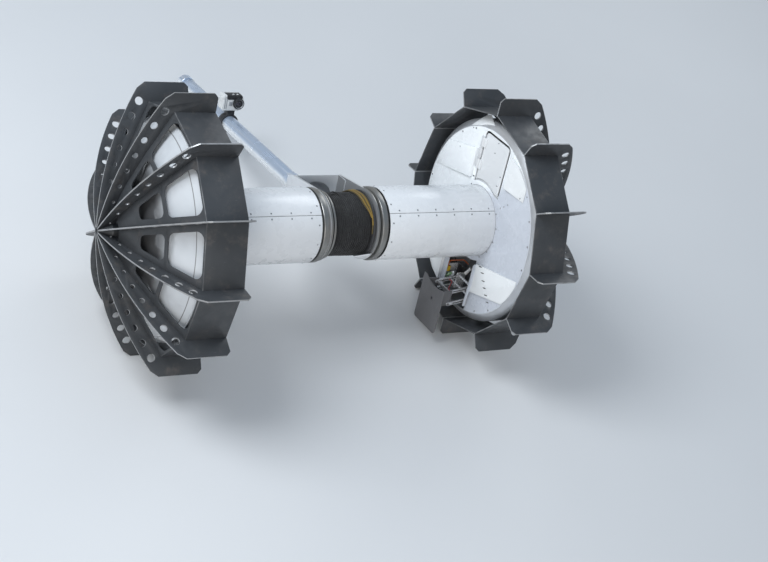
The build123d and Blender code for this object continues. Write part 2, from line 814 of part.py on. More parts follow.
with BuildPart() as tip:
    with BuildSketch(boom_section(boom_end)):
        Circle(tip_radius)
    extrude(amount=-(tip_end - boom_end))
    fillet(tip.faces().sort_by(Axis((0, 0, 0), tuple(boom_along)))[-1].edges(), radius=tip_rounding)
    with BuildSketch(boom_section(boom_end)):
        Circle(boom_radius - boom_wall - boss_gap)
    extrude(amount=tip_plug)
    with BuildSketch(boom_section(boom_end - tip_plug)):
        Circle(tether_eye_radius)
    extrude(amount=-(tip_end - boom_end + tip_plug), mode=Mode.SUBTRACT)
keep(tip, "boom_tip")

# Small camera clamped to the boom, looking back at the axle
camera_floor = boom_radius + camera_stand
with BuildPart() as mount:
    with BuildSketch(boom_section(camera_b - clamp_width / 2)):
        Circle(clamp_radius)
        with Locations((0, camera_floor / 2)):
            Rectangle(clamp_width, camera_floor)
        Circle(boom_radius + seat_gap, mode=Mode.SUBTRACT)
    extrude(amount=-clamp_width)
keep(mount, "camera_mount")

with BuildPart() as camera:
    with BuildSketch(boom_section(camera_b - camera_size[1] / 2)):
        with Locations((0, camera_floor + camera_size[2] / 2)):
            RectangleRounded(camera_size[0], camera_size[2], camera_corner)
    extrude(amount=-camera_size[1])
keep(camera, "camera_body")

with BuildPart() as lens:
    with BuildSketch(boom_section(camera_b - camera_size[1] / 2)):
        with Locations((lens_x, camera_floor + camera_size[2] / 2)):
            Circle(lens_radius)
    extrude(amount=lens_depth)
keep(lens, "camera_lens")

print(f"stance height {stance_height:.2f}, boom dip {boom_dip:.3f}, body pitch {body_pitch:.3f}")
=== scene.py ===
"""Looks of the planetary rover prototype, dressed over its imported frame.

Metres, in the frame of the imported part: +X along the axle to the rover's right,
+Y backward, +Z up. Every piece is built in place and rides on the body it belongs to.
"""
import json
from math import cos, hypot, pi, radians, sin, tau

import bmesh
import bpy
from mathutils import Matrix, Vector
from mathutils.bvhtree import BVHTree


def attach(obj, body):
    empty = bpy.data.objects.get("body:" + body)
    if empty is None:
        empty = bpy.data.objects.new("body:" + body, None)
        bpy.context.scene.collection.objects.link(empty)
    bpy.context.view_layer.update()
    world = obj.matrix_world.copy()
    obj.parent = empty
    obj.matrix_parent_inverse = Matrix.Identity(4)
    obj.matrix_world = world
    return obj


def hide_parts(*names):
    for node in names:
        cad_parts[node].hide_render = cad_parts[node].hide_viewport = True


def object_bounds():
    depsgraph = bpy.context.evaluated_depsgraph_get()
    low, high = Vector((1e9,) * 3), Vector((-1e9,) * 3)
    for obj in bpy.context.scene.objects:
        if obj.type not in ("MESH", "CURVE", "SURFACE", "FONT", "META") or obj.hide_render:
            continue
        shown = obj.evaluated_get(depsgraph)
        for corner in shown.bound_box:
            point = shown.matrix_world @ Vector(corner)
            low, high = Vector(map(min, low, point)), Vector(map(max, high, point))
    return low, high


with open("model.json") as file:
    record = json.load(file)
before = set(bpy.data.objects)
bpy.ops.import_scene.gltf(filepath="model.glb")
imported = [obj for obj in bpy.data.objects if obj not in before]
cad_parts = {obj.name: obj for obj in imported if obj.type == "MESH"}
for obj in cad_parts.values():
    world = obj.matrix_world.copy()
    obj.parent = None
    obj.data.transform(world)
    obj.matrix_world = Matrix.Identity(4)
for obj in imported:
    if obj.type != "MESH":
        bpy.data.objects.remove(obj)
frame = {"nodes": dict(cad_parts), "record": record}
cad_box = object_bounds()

SIDES = {"left": -1, "right": 1}
AXLE = Vector((1, 0, 0))

# Camera of the photograph, fitted to the rover
CAMERA_PLACE = (-2.130, -2.801, 2.616)
CAMERA_TURN = (49.499, -19.122, -24.523)
CAMERA_LENS = 74.73

# Body axes: the bays' e axis points away from the axle and g runs along their chord
BODY_PITCH = radians(44.658)
BAY_TURN = radians(29.7)
BODY_BACK = Vector((0, cos(BODY_PITCH), -sin(BODY_PITCH)))
BODY_UP = Vector((0, sin(BODY_PITCH), cos(BODY_PITCH)))
BAY_OUT = BODY_BACK * sin(BAY_TURN) - BODY_UP * cos(BAY_TURN)
BAY_ACROSS = AXLE.cross(BAY_OUT)
HANDS = {"lower": 1, "upper": -1}        # the upper bays are the lower ones turned half round
SUNLIT = -BAY_OUT * 0.76 + BAY_ACROSS * 0.64        # where the photograph has the covers brightest
SEAM_ANGLE = radians(123.3)        # of the tubes' upper seam, from +Y towards +Z
SEAM_GAP = 0.012                   # radians between the tubes' half shells

# Boom axes: X, along the boom, and up from it
BOOM_DIP = radians(17.758)
BOOM = Matrix.Rotation(-BOOM_DIP, 4, "X")
BOOM_AXIS = BOOM @ Matrix(((0, -1, 0, 0), (1, 0, 0, 0), (0, 0, 1, 0), (0, 0, 0, 1)))


def on_boom(x, b, n):
    """A point in the boom's own axes."""
    return BOOM @ Vector((x, b, n))


# Sizes repeated from the frame
TUBE_RADIUS, TUBE_WALL, TUBE_START = 0.103, 0.003, 0.106
WELL_FACE, WELL_SHEET, FLAT_RADIUS, WELL_RADIUS = 0.452, 0.003, 0.272, 0.294
SKIRT_END, BEVEL_RUN = 0.535, 0.015
DOME_SEAM = 0.277
PANEL_FOLDS = (0.431, 0.543)
STEPS = 144                        # round the large turned pieces

PARTS = frame["record"]["behaviour"]["bodies"]
BODY_OF = {node: body for body, nodes in PARTS.items() for node in nodes}
SLOT_OF = {part["node"]: part["material_slot"] for part in frame["record"]["subparts"]}


# Node trees

class Tree:
    """A shader or geometry tree, written one node at a time."""

    def __init__(self, tree):
        self.tree = tree

    def add(self, kind, inputs=None, **options):
        """Add a node, set its options and fill its inputs with values or links."""
        made = self.tree.nodes.new(kind)
        for name, value in options.items():
            setattr(made, name, value)
        for key, value in (inputs or {}).items():
            if isinstance(value, bpy.types.NodeSocket):
                self.tree.links.new(value, made.inputs[key])
            else:
                made.inputs[key].default_value = value
        return made

    def out(self, kind, inputs=None, **options):
        """Add a node and give its first output."""
        return self.add(kind, inputs, **options).outputs[0]

    def math(self, operation, *values):
        return self.out("ShaderNodeMath", dict(enumerate(values)), operation=operation)

    def vector(self, operation, *values, output=0):
        node = self.add("ShaderNodeVectorMath", dict(enumerate(values)), operation=operation)
        return node.outputs[output]

    def xyz(self, *values):
        return self.out("ShaderNodeCombineXYZ", dict(enumerate(values)))

    def fade(self, value, start, end, low=0.0, high=1.0):
        """A smooth step of a value from low at start to high at end."""
        return self.out("ShaderNodeMapRange", {
            "Value": value, "From Min": start, "From Max": end, "To Min": low, "To Max": high,
        }, interpolation_type="SMOOTHSTEP")

    def mix(self, factor, first, second):
        node = self.add("ShaderNodeMix", {0: factor, 6: first, 7: second}, data_type="RGBA")
        return node.outputs[2]

    def noise(self, place, scale, detail, roughness):
        return self.out("ShaderNodeTexNoise", {
            "Vector": place, "Scale": scale, "Detail": detail, "Roughness": roughness,
        })

    def stretched(self, place, *scale):
        """Coordinates scaled by axis."""
        return self.vector("MULTIPLY", place, scale)


class Finish(Tree):
    """A material's tree, with its shader and each point's place and normal in Object coordinates."""

    def __init__(self, name, **sockets):
        self.material = bpy.data.materials.new(name)
        self.material.use_nodes = True
        super().__init__(self.material.node_tree)
        self.shader = self.tree.nodes["Principled BSDF"]
        for socket, value in sockets.items():
            self.shader.inputs[socket.replace("_", " ")].default_value = value
        coordinates = self.add("ShaderNodeTexCoord").outputs
        self.place, self.normal = coordinates["Object"], coordinates["Normal"]

    def noise(self, scale, detail=3.0, roughness=0.55, place=None):
        return super().noise(self.place if place is None else place, scale, detail, roughness)

    def grain(self, detail, *scale):
        """Noise stretched by axis, for marks that run one way."""
        return self.noise(1.0, detail, place=self.stretched(self.place, *scale))

    def patches(self, scale, detail, start=0.3, end=0.7, low=0.0, high=1.0, roughness=0.55):
        return self.fade(self.noise(scale, detail, roughness), start, end, low, high)

    def across(self):
        """The place along the axle."""
        return self.add("ShaderNodeSeparateXYZ", {0: self.place}).outputs[0]

    def radius(self):
        """The distance from the axle."""
        return self.vector("LENGTH", self.stretched(self.place, 0, 1, 1), output=1)

    def towards(self, way):
        """The distance towards a direction."""
        return self.vector("DOT_PRODUCT", self.place, way, output=1)

    def close_to(self, value, aim, none, full=0.0):
        """One where a value is within full of an aim, and nothing from none on."""
        return self.fade(self.math("ABSOLUTE", self.math("SUBTRACT", value, aim)), none, full)

    def dusted(self, colour, dust, scale, start, end, share, roughness=0.7):
        """A colour under patches of dust."""
        patches = self.patches(scale, 6.0, start, end, 0.0, share, roughness)
        return self.mix(patches, colour, (*dust, 1))

    def wire(self, colour, roughness=None, height=None, depth=0.0002, metallic=None):
        """Link the patterns to the shader, with height as a bump of the given depth."""
        for socket, value in (("Base Color", colour), ("Roughness", roughness), ("Metallic", metallic)):
            if value is not None:
                self.tree.links.new(value, self.shader.inputs[socket])
        if height is not None:
            bump = self.out("ShaderNodeBump", {"Height": height, "Distance": depth})
            self.tree.links.new(bump, self.shader.inputs["Normal"])
        return self.material


def grey(value, tint=(1, 1, 1)):
    return (value * tint[0], value * tint[1], value * tint[2], 1)


# Finishes

def charcoal_sheet(name, bare_edges):
    """Dark satin wheel sheet: mottled, dusty and scratched, with bright cut edges or worn folds."""
    tree = Finish(name)
    cloud = tree.noise(9.0, 4.0)
    colour = tree.mix(cloud, grey(0.036, (0.90, 1.0, 1.12)), grey(0.070, (0.95, 1.0, 1.07)))
    colour = tree.dusted(colour, (0.23, 0.19, 0.16), 22.0, 0.50, 0.80, 0.32)
    scratch = tree.fade(tree.grain(1.0, 60, 900, 900), 0.72, 0.80)
    scratch = tree.math("MULTIPLY", scratch, tree.fade(cloud, 0.45, 0.65))
    colour = tree.mix(tree.math("MULTIPLY", scratch, 0.35), colour, grey(0.34))
    metallic = None
    if bare_edges:
        around = tree.vector("NORMALIZE", tree.vector("CROSS_PRODUCT", tree.place, (1, 0, 0)))
        flat = tree.math("ABSOLUTE", tree.vector("DOT_PRODUCT", around, tree.normal, output=1))
        edge = tree.math("MULTIPLY", tree.fade(flat, 0.75, 0.35), tree.patches(35.0, 3.0, 0.30, 0.50, 0.55))
        colour = tree.mix(edge, colour, grey(0.40))
        metallic = tree.math("MULTIPLY", edge, 0.7)
    else:
        across = tree.math("ABSOLUTE", tree.across())
        worn = tree.math("MAXIMUM", *(tree.close_to(across, fold, 0.0016) for fold in PANEL_FOLDS))
        worn = tree.math("MULTIPLY", worn, tree.patches(18.0, 3.0, 0.35, 0.70, 0.1, 0.7))
        colour = tree.mix(worn, colour, grey(0.30))
    rough = tree.patches(40.0, 4.0, low=0.36, high=0.56)
    return tree.wire(colour, rough, tree.noise(130.0, 2.0), 0.00008, metallic)


def white_paint(name, base=0.80, tint=(0.975, 0.992, 1.01), roughness=0.28, bright=None):
    """Gloss paint with faint mottling, dust and grain, and painted sunlight towards a direction if one is
    named.
    """
    tree = Finish(name, Coat_Weight=0.25, Coat_Roughness=0.12)
    colour = tree.mix(tree.noise(5.0), grey(base * 0.965, tint), grey(base, tint))
    if bright is not None:
        # Painted sunlight: the paint turns near white towards the named direction.
        painted_sunlight = tree.fade(tree.towards(bright), 0.035, 0.085)
        colour = tree.mix(painted_sunlight, colour, grey(0.96, (0.975, 1.0, 1.01)))
    colour = tree.dusted(colour, (0.46, 0.40, 0.35), 16.0, 0.50, 0.85, 0.05, 0.68)
    colour = tree.mix(tree.patches(240.0, 1.0, 0.77, 0.83, 0.0, 0.15), colour, (0.40, 0.36, 0.33, 1))
    rough = tree.patches(30.0, 4.0, low=roughness - 0.06, high=roughness + 0.10)
    return tree.wire(colour, rough, tree.noise(420.0, 1.0), 0.00003)


def moulded_dome(name):
    """Glossy off-white dome, with painted shade and dark reflection towards its nose, and a dark seam near
    its rim.
    """
    tree = Finish(name, Coat_Weight=0.9, Coat_Roughness=0.04)
    colour = tree.mix(tree.noise(7.0, 4.0), grey(0.60, (0.96, 1.0, 1.04)), grey(0.74, (0.97, 1.0, 1.03)))
    radius = tree.radius()
    # Painted shade and dark reflection: the dome turns dark grey towards its nose.
    colour = tree.mix(tree.fade(radius, 0.222, 0.165), colour, grey(0.11, (1.0, 1.0, 1.03)))
    colour = tree.mix(tree.close_to(radius, DOME_SEAM, 0.0014, 0.0006), colour, grey(0.22))
    colour = tree.dusted(colour, (0.40, 0.36, 0.32), 26.0, 0.55, 0.80, 0.25)
    rough = tree.patches(18.0, 5.0, 0.35, 0.70, 0.08, 0.26)
    return tree.wire(colour, rough, tree.noise(9.0, 2.0), 0.0012)


def turned_metal(name, base, tint, metallic, low, high):
    """Metal with fine rings left by turning about the axle, and a few darker stains."""
    tree = Finish(name, Metallic=metallic)
    rings = tree.noise(900.0, 2.0, place=tree.xyz(tree.across(), tree.radius(), 0.0))
    stain = tree.noise(24.0, 5.0, 0.65)
    colour = tree.mix(stain, grey(base * 0.78, tint), grey(base * 1.08, tint))
    rough = tree.math("ADD", rings, tree.math("MULTIPLY", stain, 0.6))
    return tree.wire(colour, tree.fade(rough, 0.4, 1.2, low, high), rings, 0.00005)


def bare_metal(name, base, low, high, metallic=1.0):
    """Bare sheet or bar with a fine grain and patches of haze."""
    tree = Finish(name, Metallic=metallic)
    grain = tree.noise(260.0)
    haze = tree.noise(14.0, 5.0, 0.6)
    colour = tree.mix(haze, grey(base * 0.82, (0.97, 0.99, 1.02)), grey(base, (0.99, 1.0, 1.01)))
    rough = tree.math("ADD", tree.fade(haze, 0.3, 0.7, low, high), tree.fade(grain, 0.3, 0.7, -0.04, 0.06))
    return tree.wire(colour, rough, grain, 0.00004)


def polished_tube_painted_reflection(name):
    """Polished tube: pale streaks drawn along it, a painted bluish sky reflection on its upper side, a
    painted pale reflection on its lower side, and a few rubbed patches.
    """
    tree = Finish(name, Metallic=0.45)
    along = tree.math("MULTIPLY", tree.towards(on_boom(0, 1, 0)), 0.010)
    drawn = tree.xyz(tree.across(), along, tree.towards(on_boom(0, 0, 1)))
    fine = tree.noise(420.0, 2.0, place=drawn)
    # Painted reflection: pale on the lower side as of a bright ground, bluish on the upper side as of the
    # sky.
    top = tree.fade(tree.towards(on_boom(-0.42, 0, 0.91)), 0.010, 0.020)
    pale = tree.fade(tree.noise(60.0, 2.0, place=drawn), 0.42, 0.60)
    pale = tree.math("MAXIMUM", pale, tree.math("SUBTRACT", 1.0, top))
    colour = tree.mix(pale, grey(0.58, (0.83, 0.965, 1.17)), grey(0.93, (0.985, 1.0, 1.01)))
    rubbed = tree.patches(20.0, 4.0, 0.35, 0.70, 0.18, 0.27)
    rough = tree.math("ADD", rubbed, tree.fade(fine, 0.3, 0.7, -0.03, 0.05))
    return tree.wire(colour, rough, fine, 0.00004)


def dull_plate(name):
    """Unpainted plate: matt grey with faint rolling lines and handling marks."""
    tree = Finish(name, Metallic=0.55)
    cloud = tree.noise(28.0, 5.0, 0.65)
    lines = tree.grain(2.0, 300, 700, 30)
    colour = tree.mix(cloud, grey(0.155, (1.02, 1.0, 1.02)), grey(0.235, (1.02, 1.0, 1.02)))
    colour = tree.mix(tree.fade(lines, 0.62, 0.75, 0.0, 0.35), colour, grey(0.42))
    return tree.wire(colour, tree.fade(cloud, 0.3, 0.7, 0.42, 0.60), lines, 0.00004)


def braided_sleeve(name, colour_low, colour_high):
    """Matt woven sleeve of the tether, with a fine weave and worn patches."""
    tree = Finish(name, Sheen_Weight=0.15)
    weave = tree.grain(1.0, 1400, 2200, 2200)
    worn = tree.noise(45.0, 4.0)
    colour = tree.mix(tree.math("MULTIPLY", weave, worn), colour_low, colour_high)
    return tree.wire(colour, tree.fade(worn, 0.3, 0.7, 0.65, 0.9), weave, 0.0004)


def moulded_plastic(name, colour, roughness, grain=600.0):
    """Moulded plastic with a fine grain and slightly polished, lighter patches."""
    tree = Finish(name)
    patch = tree.noise(60.0, 4.0)
    lighter = [c + 0.06 * (1 - c) for c in colour]
    mixed = tree.mix(tree.fade(patch, 0.45, 0.75, 0.0, 0.5), (*colour, 1), (*lighter, 1))
    rough = tree.fade(patch, 0.3, 0.7, roughness - 0.08, roughness + 0.08)
    return tree.wire(mixed, rough, tree.noise(grain, 1.0), 0.00004)


def lens_glass(name):
    """Dark coated glass over the camera's lens."""
    tree = Finish(name, Roughness=0.04, Coat_Weight=1.0)
    return tree.wire(tree.mix(tree.patches(70.0, 2.0), (0.008, 0.010, 0.016, 1), (0.020, 0.014, 0.030, 1)))


RIB_SHEET = charcoal_sheet("charcoal ribs", bare_edges=True)
PANEL_SHEET = charcoal_sheet("charcoal panels", bare_edges=False)
CUT_EDGE = bare_metal("worn cut edge", 0.36, 0.32, 0.48)
WHITE = white_paint("white paint")
WHITE_EDGE = white_paint("white edges", base=0.72, roughness=0.35)
# Cover paint: a darker, bluish copy of the white paint as painted shade, turning to painted sunlight towards
# SUNLIT.
COVER_WHITE_SHADE_AND_SUN = white_paint("cover white", base=0.64, tint=(0.935, 0.985, 1.075), roughness=0.24, bright=SUNLIT)
# Band paint: a brighter copy of the white paint, painted sunlight and sheen on the bands and tongues.
BAND_WHITE_SUNLIT = white_paint("band white", base=0.88, tint=(0.98, 1.0, 1.005), roughness=0.20)
DOOR_WHITE = white_paint("door white", base=0.80, tint=(0.985, 1.0, 1.01), roughness=0.34)
# Lip grey: a darker copy of the white paint, painted shade on the band's edge wall by the open bay.
LIP_GREY_SHADED = white_paint("lip grey", base=0.56, tint=(1.0, 0.995, 1.01), roughness=0.38)
DOME = moulded_dome("moulded dome")
RIM_GREY = turned_metal("silver rim", 0.72, (0.98, 1.0, 1.03), 0.75, 0.28, 0.45)
RING_GREY = turned_metal("satin rings", 0.30, (1.02, 1.0, 0.95), 0.80, 0.26, 0.42)
RING_GROOVE = turned_metal("dark ring groove", 0.07, (1.0, 1.0, 0.98), 0.4, 0.40, 0.55)
DARK_HUB = turned_metal("dark hub", 0.07, (0.95, 1.0, 1.06), 0.5, 0.35, 0.50)
TURNED_STEEL = turned_metal("turned steel", 0.52, (1.0, 1.0, 1.02), 1.0, 0.20, 0.36)
DARK_FLANGE = turned_metal("dark flange", 0.060, (1.0, 1.0, 1.05), 0.3, 0.40, 0.60)
BOOM_METAL_PAINTED_REFLECTION = polished_tube_painted_reflection("polished boom")
SHEET_METAL = bare_metal("bare sheet", 0.80, 0.34, 0.46)
PLATE_SHEET = bare_metal("yoke plate", 0.88, 0.36, 0.48, metallic=0.10)
PALE_SHEET = bare_metal("pale sheet", 0.90, 0.36, 0.48, metallic=0.25)
CHEEK_EDGE = bare_metal("cheek edge", 0.86, 0.40, 0.50)
# Painted shade: a darker copy of the yoke's sheet, for the faces inside the cheeks and the yoke's box.
CHEEK_INSIDE_SHADED = bare_metal("cheek inside", 0.30, 0.40, 0.52, metallic=0.3)
BAR_METAL = bare_metal("bare bars", 0.88, 0.20, 0.32, metallic=0.6)
PLATE_GREY = dull_plate("dull plate")
TETHER = braided_sleeve("tether sleeve", grey(0.005), grey(0.024, (1.0, 0.99, 1.02)))
OCHRE = braided_sleeve("ochre strand", (0.16, 0.09, 0.015, 1), (0.50, 0.34, 0.045, 1))
OLIVE = braided_sleeve("olive strand", (0.05, 0.035, 0.012, 1), (0.20, 0.14, 0.03, 1))
BLACK = moulded_plastic("matt black", (0.022, 0.022, 0.024), 0.45)
# Near-black plastic for painted shade in slots and recesses.
RECESS_SHADE_BLACK = moulded_plastic("dark recess", (0.012, 0.012, 0.013), 0.7)
BLOCK_GREY = moulded_plastic("plain grey", (0.040, 0.042, 0.040), 0.5)
CAMERA_GREY = moulded_plastic("camera grey", (0.78, 0.78, 0.77), 0.28, grain=900.0)
GROOVE_GREY = moulded_plastic("groove grey", (0.34, 0.35, 0.37), 0.35)
SCREW_STEEL = bare_metal("screw steel", 0.34, 0.25, 0.40)
RED_LEAD = moulded_plastic("red lead", (0.52, 0.05, 0.06), 0.4)
ORANGE_LEAD = moulded_plastic("orange lead", (0.62, 0.13, 0.02), 0.4)
GREEN = moulded_plastic("green terminals", (0.22, 0.42, 0.20), 0.4)
YELLOW = moulded_plastic("yellow connector", (0.78, 0.52, 0.03), 0.4)
GLASS = lens_glass("lens glass")

FINISH_OF_SLOT = {
    "charcoal_sheet": PANEL_SHEET, "white_paint": WHITE, "rim_grey": RIM_GREY, "dome_grey": DOME,
    "bare_aluminium": SHEET_METAL, "ring_grey": RING_GREY, "hub_metal": DARK_HUB,
    "shaft_metal": TURNED_STEEL, "plate_grey": PLATE_GREY, "tether_black": TETHER,
    "block_grey": BLOCK_GREY, "instrument_black": BLACK, "camera_silver": CAMERA_GREY,
    "camera_black": BLACK, "lead_red": RED_LEAD, "lead_orange": ORANGE_LEAD,
    "connector_yellow": YELLOW,
}
for node, cad in frame["nodes"].items():
    cad.data.materials.clear()
    cad.data.materials.append(FINISH_OF_SLOT[SLOT_OF[node]])


# Making and keeping pieces

def new_piece(name, mesh, *materials):
    piece = bpy.data.objects.new(name, mesh)
    bpy.context.scene.collection.objects.link(piece)
    for material in materials:
        mesh.materials.append(material)
    return piece


def from_bmesh(name, shape, material, matrix=None, smooth=30):
    """Turn a bmesh into a piece, in place, smooth up to an angle."""
    if matrix is not None:
        shape.transform(matrix)
    bmesh.ops.recalc_face_normals(shape, faces=shape.faces)
    mesh = bpy.data.meshes.new(name)
    shape.to_mesh(mesh)
    shape.free()
    piece = new_piece(name, mesh, material)
    shade(piece, smooth)
    return piece


def shade(piece, angle=30):
    piece.data.shade_smooth()
    piece.data.set_sharp_from_angle(angle=radians(angle))


def settle(piece):
    """Take a piece's modifiers into its mesh."""
    view = bpy.context.evaluated_depsgraph_get()
    view.update()
    mesh = bpy.data.meshes.new_from_object(piece.evaluated_get(view), depsgraph=view)
    piece.modifiers.clear()
    piece.data = mesh
    return piece


def soften(piece, width, segments=2, edge_slot=-1):
    """Round a piece's sharp edges, the new faces in a material slot of their own if named."""
    bevel = piece.modifiers.new("soft edges", "BEVEL")
    bevel.width = width
    bevel.segments = segments
    bevel.limit_method = "ANGLE"
    bevel.angle_limit = radians(30)
    bevel.material = edge_slot
    bevel.use_clamp_overlap = True
    shade(settle(piece))
    return piece


def ride_with(piece, body):
    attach(piece, body)
    return piece


def fixed(piece, edge, body="body"):
    """Soften a piece of the scene's own and fix it to a body."""
    return ride_with(soften(piece, edge), body)


def stand_for(piece, *nodes):
    """A piece takes the place and the body of CAD nodes, which it hides."""
    ride_with(piece, BODY_OF[nodes[0]])
    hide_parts(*nodes)
    return piece


def finished_copy(node, material, width, segments=2, edge=None):
    """A merged copy of a CAD node with its sharp edges softened, which stands for it."""
    shape = bmesh.new()
    shape.from_mesh(frame["nodes"][node].data)
    bmesh.ops.remove_doubles(shape, verts=shape.verts, dist=2e-6)
    bmesh.ops.dissolve_limit(
        shape, angle_limit=radians(0.3), use_dissolve_boundaries=False,
        verts=shape.verts, edges=shape.edges,
    )
    mesh = bpy.data.meshes.new(node)
    shape.to_mesh(mesh)
    shape.free()
    materials = (material,) if edge is None else (material, edge)
    piece = new_piece(f"{node}_finished", mesh, *materials)
    soften(piece, width, segments, -1 if edge is None else 1)
    return stand_for(piece, node)


def turned(name, outline, material, side=1, start=0.0, sweep=tau, matrix=None, steps=STEPS, smooth=30):
    """Revolve a closed outline of x, radius points about the axle, whole or in part."""
    shape = bmesh.new()
    whole = sweep >= tau
    count = steps if whole else max(8, round(steps * sweep / tau))
    rings = []
    for i in range(count if whole else count + 1):
        angle = start + sweep * i / count
        ring = [shape.verts.new((side * x, r * cos(angle), r * sin(angle))) for x, r in outline]
        rings.append(ring)
    for i in range(count):
        ring, after = rings[i], rings[(i + 1) % len(rings)]
        for j in range(len(outline)):
            k = (j + 1) % len(outline)
            shape.faces.new((ring[j], ring[k], after[k], after[j]))
    if not whole:
        shape.faces.new(rings[0])
        shape.faces.new(rings[-1])
    bmesh.ops.remove_doubles(shape, verts=shape.verts, dist=1e-7)
    bmesh.ops.dissolve_degenerate(shape, edges=shape.edges, dist=1e-8)
    return from_bmesh(name, shape, material, matrix, smooth)


def turned_for(node, name, outline, material, edge=None, **options):
    """A turned piece that stands for a CAD node, its edges softened where a width is given."""
    piece = turned(name, outline, material, **options)
    if edge is not None:
        soften(piece, edge)
    return stand_for(piece, node)


def arc(centre, radius, start, end, steps=8):
    """Points of a circular arc in degrees, for an outline."""
    turns = [radians(start + (end - start) * i / steps) for i in range(steps + 1)]
    return [(centre[0] + radius * cos(t), centre[1] + radius * sin(t)) for t in turns]


def lofted(name, rows, material, matrix=None):
    """A closed piece over rows of as many points each, with the first and the last row as its ends."""
    shape = bmesh.new()
    made = [[shape.verts.new(point) for point in row] for row in rows]
    shape.faces.new(made[0])
    shape.faces.new(made[-1][::-1])
    for row, after in zip(made, made[1:]):
        for i in range(len(row)):
            k = (i + 1) % len(row)
            shape.faces.new((row[i], after[i], after[k], row[k]))
    return from_bmesh(name, shape, material, matrix)


def prism(name, outline, thickness, material, matrix=None):
    """A closed plate between an outline of points and its copy moved by a vector."""
    moved = [Vector(point) + Vector(thickness) for point in outline]
    return lofted(name, (outline, moved), material, matrix)


def tinted(piece, material, test):
    """Give the faces whose centre and normal pass a test a material of their own."""
    piece.data.materials.append(material)
    for face in piece.data.polygons:
        if test(face.center, face.normal):
            face.material_index = len(piece.data.materials) - 1
    return piece


def block(name, low, high, material, matrix=None, edge=0.0005):
    """A block between two corners in the axes of a matrix, with softened edges."""
    (ax, ay, az), (bx, by, bz) = low, high
    outline = [(ax, ay, az), (bx, ay, az), (bx, by, az), (ax, by, az)]
    return soften(prism(name, outline, (0, 0, bz - az), material, matrix), edge)


def bay_point(x, bay, e, g):
    """A point in a bay's own axes at x along the axle."""
    return Vector((x, 0, 0)) + (BAY_OUT * e + BAY_ACROSS * g) * HANDS[bay]


def bay_axes(bay, side=1):
    """Matrix from a side's depth along the axle, e and g to the frame."""
    columns = (AXLE * side, BAY_OUT * HANDS[bay], BAY_ACROSS * HANDS[bay])
    return Matrix([[column[i] for column in columns] + [0] for i in range(3)] + [[0, 0, 0, 1]])


def around_axle(x, radius, angle):
    return Vector((x, radius * cos(angle), radius * sin(angle)))


IN_BAY = bay_axes("lower")


# Geometry trees

class ShapeTree(Tree):
    """A geometry tree with named inputs, which ends in real geometry of one finish."""

    def __init__(self, name, taken, made, numbers):
        super().__init__(bpy.data.node_groups.new(name, "GeometryNodeTree"))
        self.socket(taken, "Geometry")
        for title, value in numbers.items():
            kind = "Int" if isinstance(value, int) else "Float"
            self.socket(title, kind).default_value = value
        self.socket("Finish", "Material")
        self.socket(made, "Geometry", "OUTPUT")
        self.given = self.add("NodeGroupInput").outputs

    def socket(self, title, kind, way="INPUT"):
        return self.tree.interface.new_socket(title, in_out=way, socket_type=f"NodeSocket{kind}")

    def tube(self, curve, sides, radius):
        """A closed round tube along a curve."""
        section = self.out("GeometryNodeCurvePrimitiveCircle", {"Resolution": sides, "Radius": radius})
        return self.out("GeometryNodeCurveToMesh", {
            "Curve": curve, "Profile Curve": section, "Fill Caps": True,
        })

    def ended_with(self, shape):
        """The tree's group, ended with a shape made real in its finish."""
        real = self.out("GeometryNodeRealizeInstances", {0: shape})
        done = self.out("GeometryNodeSetMaterial", {"Geometry": real, "Material": self.given["Finish"]})
        self.add("NodeGroupOutput", {0: done})
        return self.tree


def run_tree(name, mesh, group, angle, **inputs):
    """A piece from a mesh run through a geometry tree with its named inputs, kept as a plain mesh."""
    piece = new_piece(name, mesh)
    modifier = piece.modifiers.new(group.name, "NODES")
    modifier.node_group = group
    for item in group.interface.items_tree:
        key = item.name.lower().replace(" ", "_")
        if item.item_type == "SOCKET" and item.in_out == "INPUT" and key in inputs:
            modifier[item.identifier] = inputs[key]
    shade(settle(piece), angle)
    return piece


WAYS = ("facing", "along")


def fastener_tree():
    """Heads with a driver recess on points, turned by each point's facing and along."""
    tree = ShapeTree("fastener heads", "Places", "Heads", {
        "Head Radius": 0.003, "Head Height": 0.001, "Dome Share": 0.75, "Recess Share": 0.55,
        "Recess Depth": 0.0008, "Stretch": 1.0, "Sides": 12,
    })
    given = tree.given
    disc = tree.out("GeometryNodeMeshCircle", {
        "Vertices": given["Sides"], "Radius": given["Head Radius"],
    }, fill_type="NGON")
    grown = tree.add("GeometryNodeExtrudeMesh", {
        "Mesh": disc, "Offset Scale": given["Head Height"],
    }).outputs
    domed = tree.out("GeometryNodeScaleElements", {
        "Geometry": grown[0], "Selection": grown[1], "Scale": given["Dome Share"],
    })
    inner = tree.add("GeometryNodeExtrudeMesh", {
        "Mesh": domed, "Selection": grown[1], "Offset Scale": 0.0,
    }).outputs
    narrowed = tree.out("GeometryNodeScaleElements", {
        "Geometry": inner[0], "Selection": inner[1], "Scale": given["Recess Share"],
    })
    sunk = tree.out("GeometryNodeExtrudeMesh", {
        "Mesh": narrowed, "Selection": inner[1],
        "Offset Scale": tree.math("MULTIPLY", given["Recess Depth"], -1.0),
    })
    long_head = tree.out("GeometryNodeTransform", {
        "Geometry": sunk, "Scale": tree.xyz(given["Stretch"], 1.0, 1.0),
    })
    facing, along = (
        tree.out("GeometryNodeInputNamedAttribute", {"Name": title}, data_type="FLOAT_VECTOR")
        for title in WAYS
    )
    upright = tree.out("FunctionNodeAlignRotationToVector", {"Vector": facing}, axis="Z")
    turned_to = tree.out("FunctionNodeAlignRotationToVector", {
        "Rotation": upright, "Vector": along,
    }, axis="X", pivot_axis="Z")
    return tree.ended_with(tree.out("GeometryNodeInstanceOnPoints", {
        "Points": given["Places"], "Instance": long_head, "Rotation": turned_to,
    }))


FASTENERS = fastener_tree()


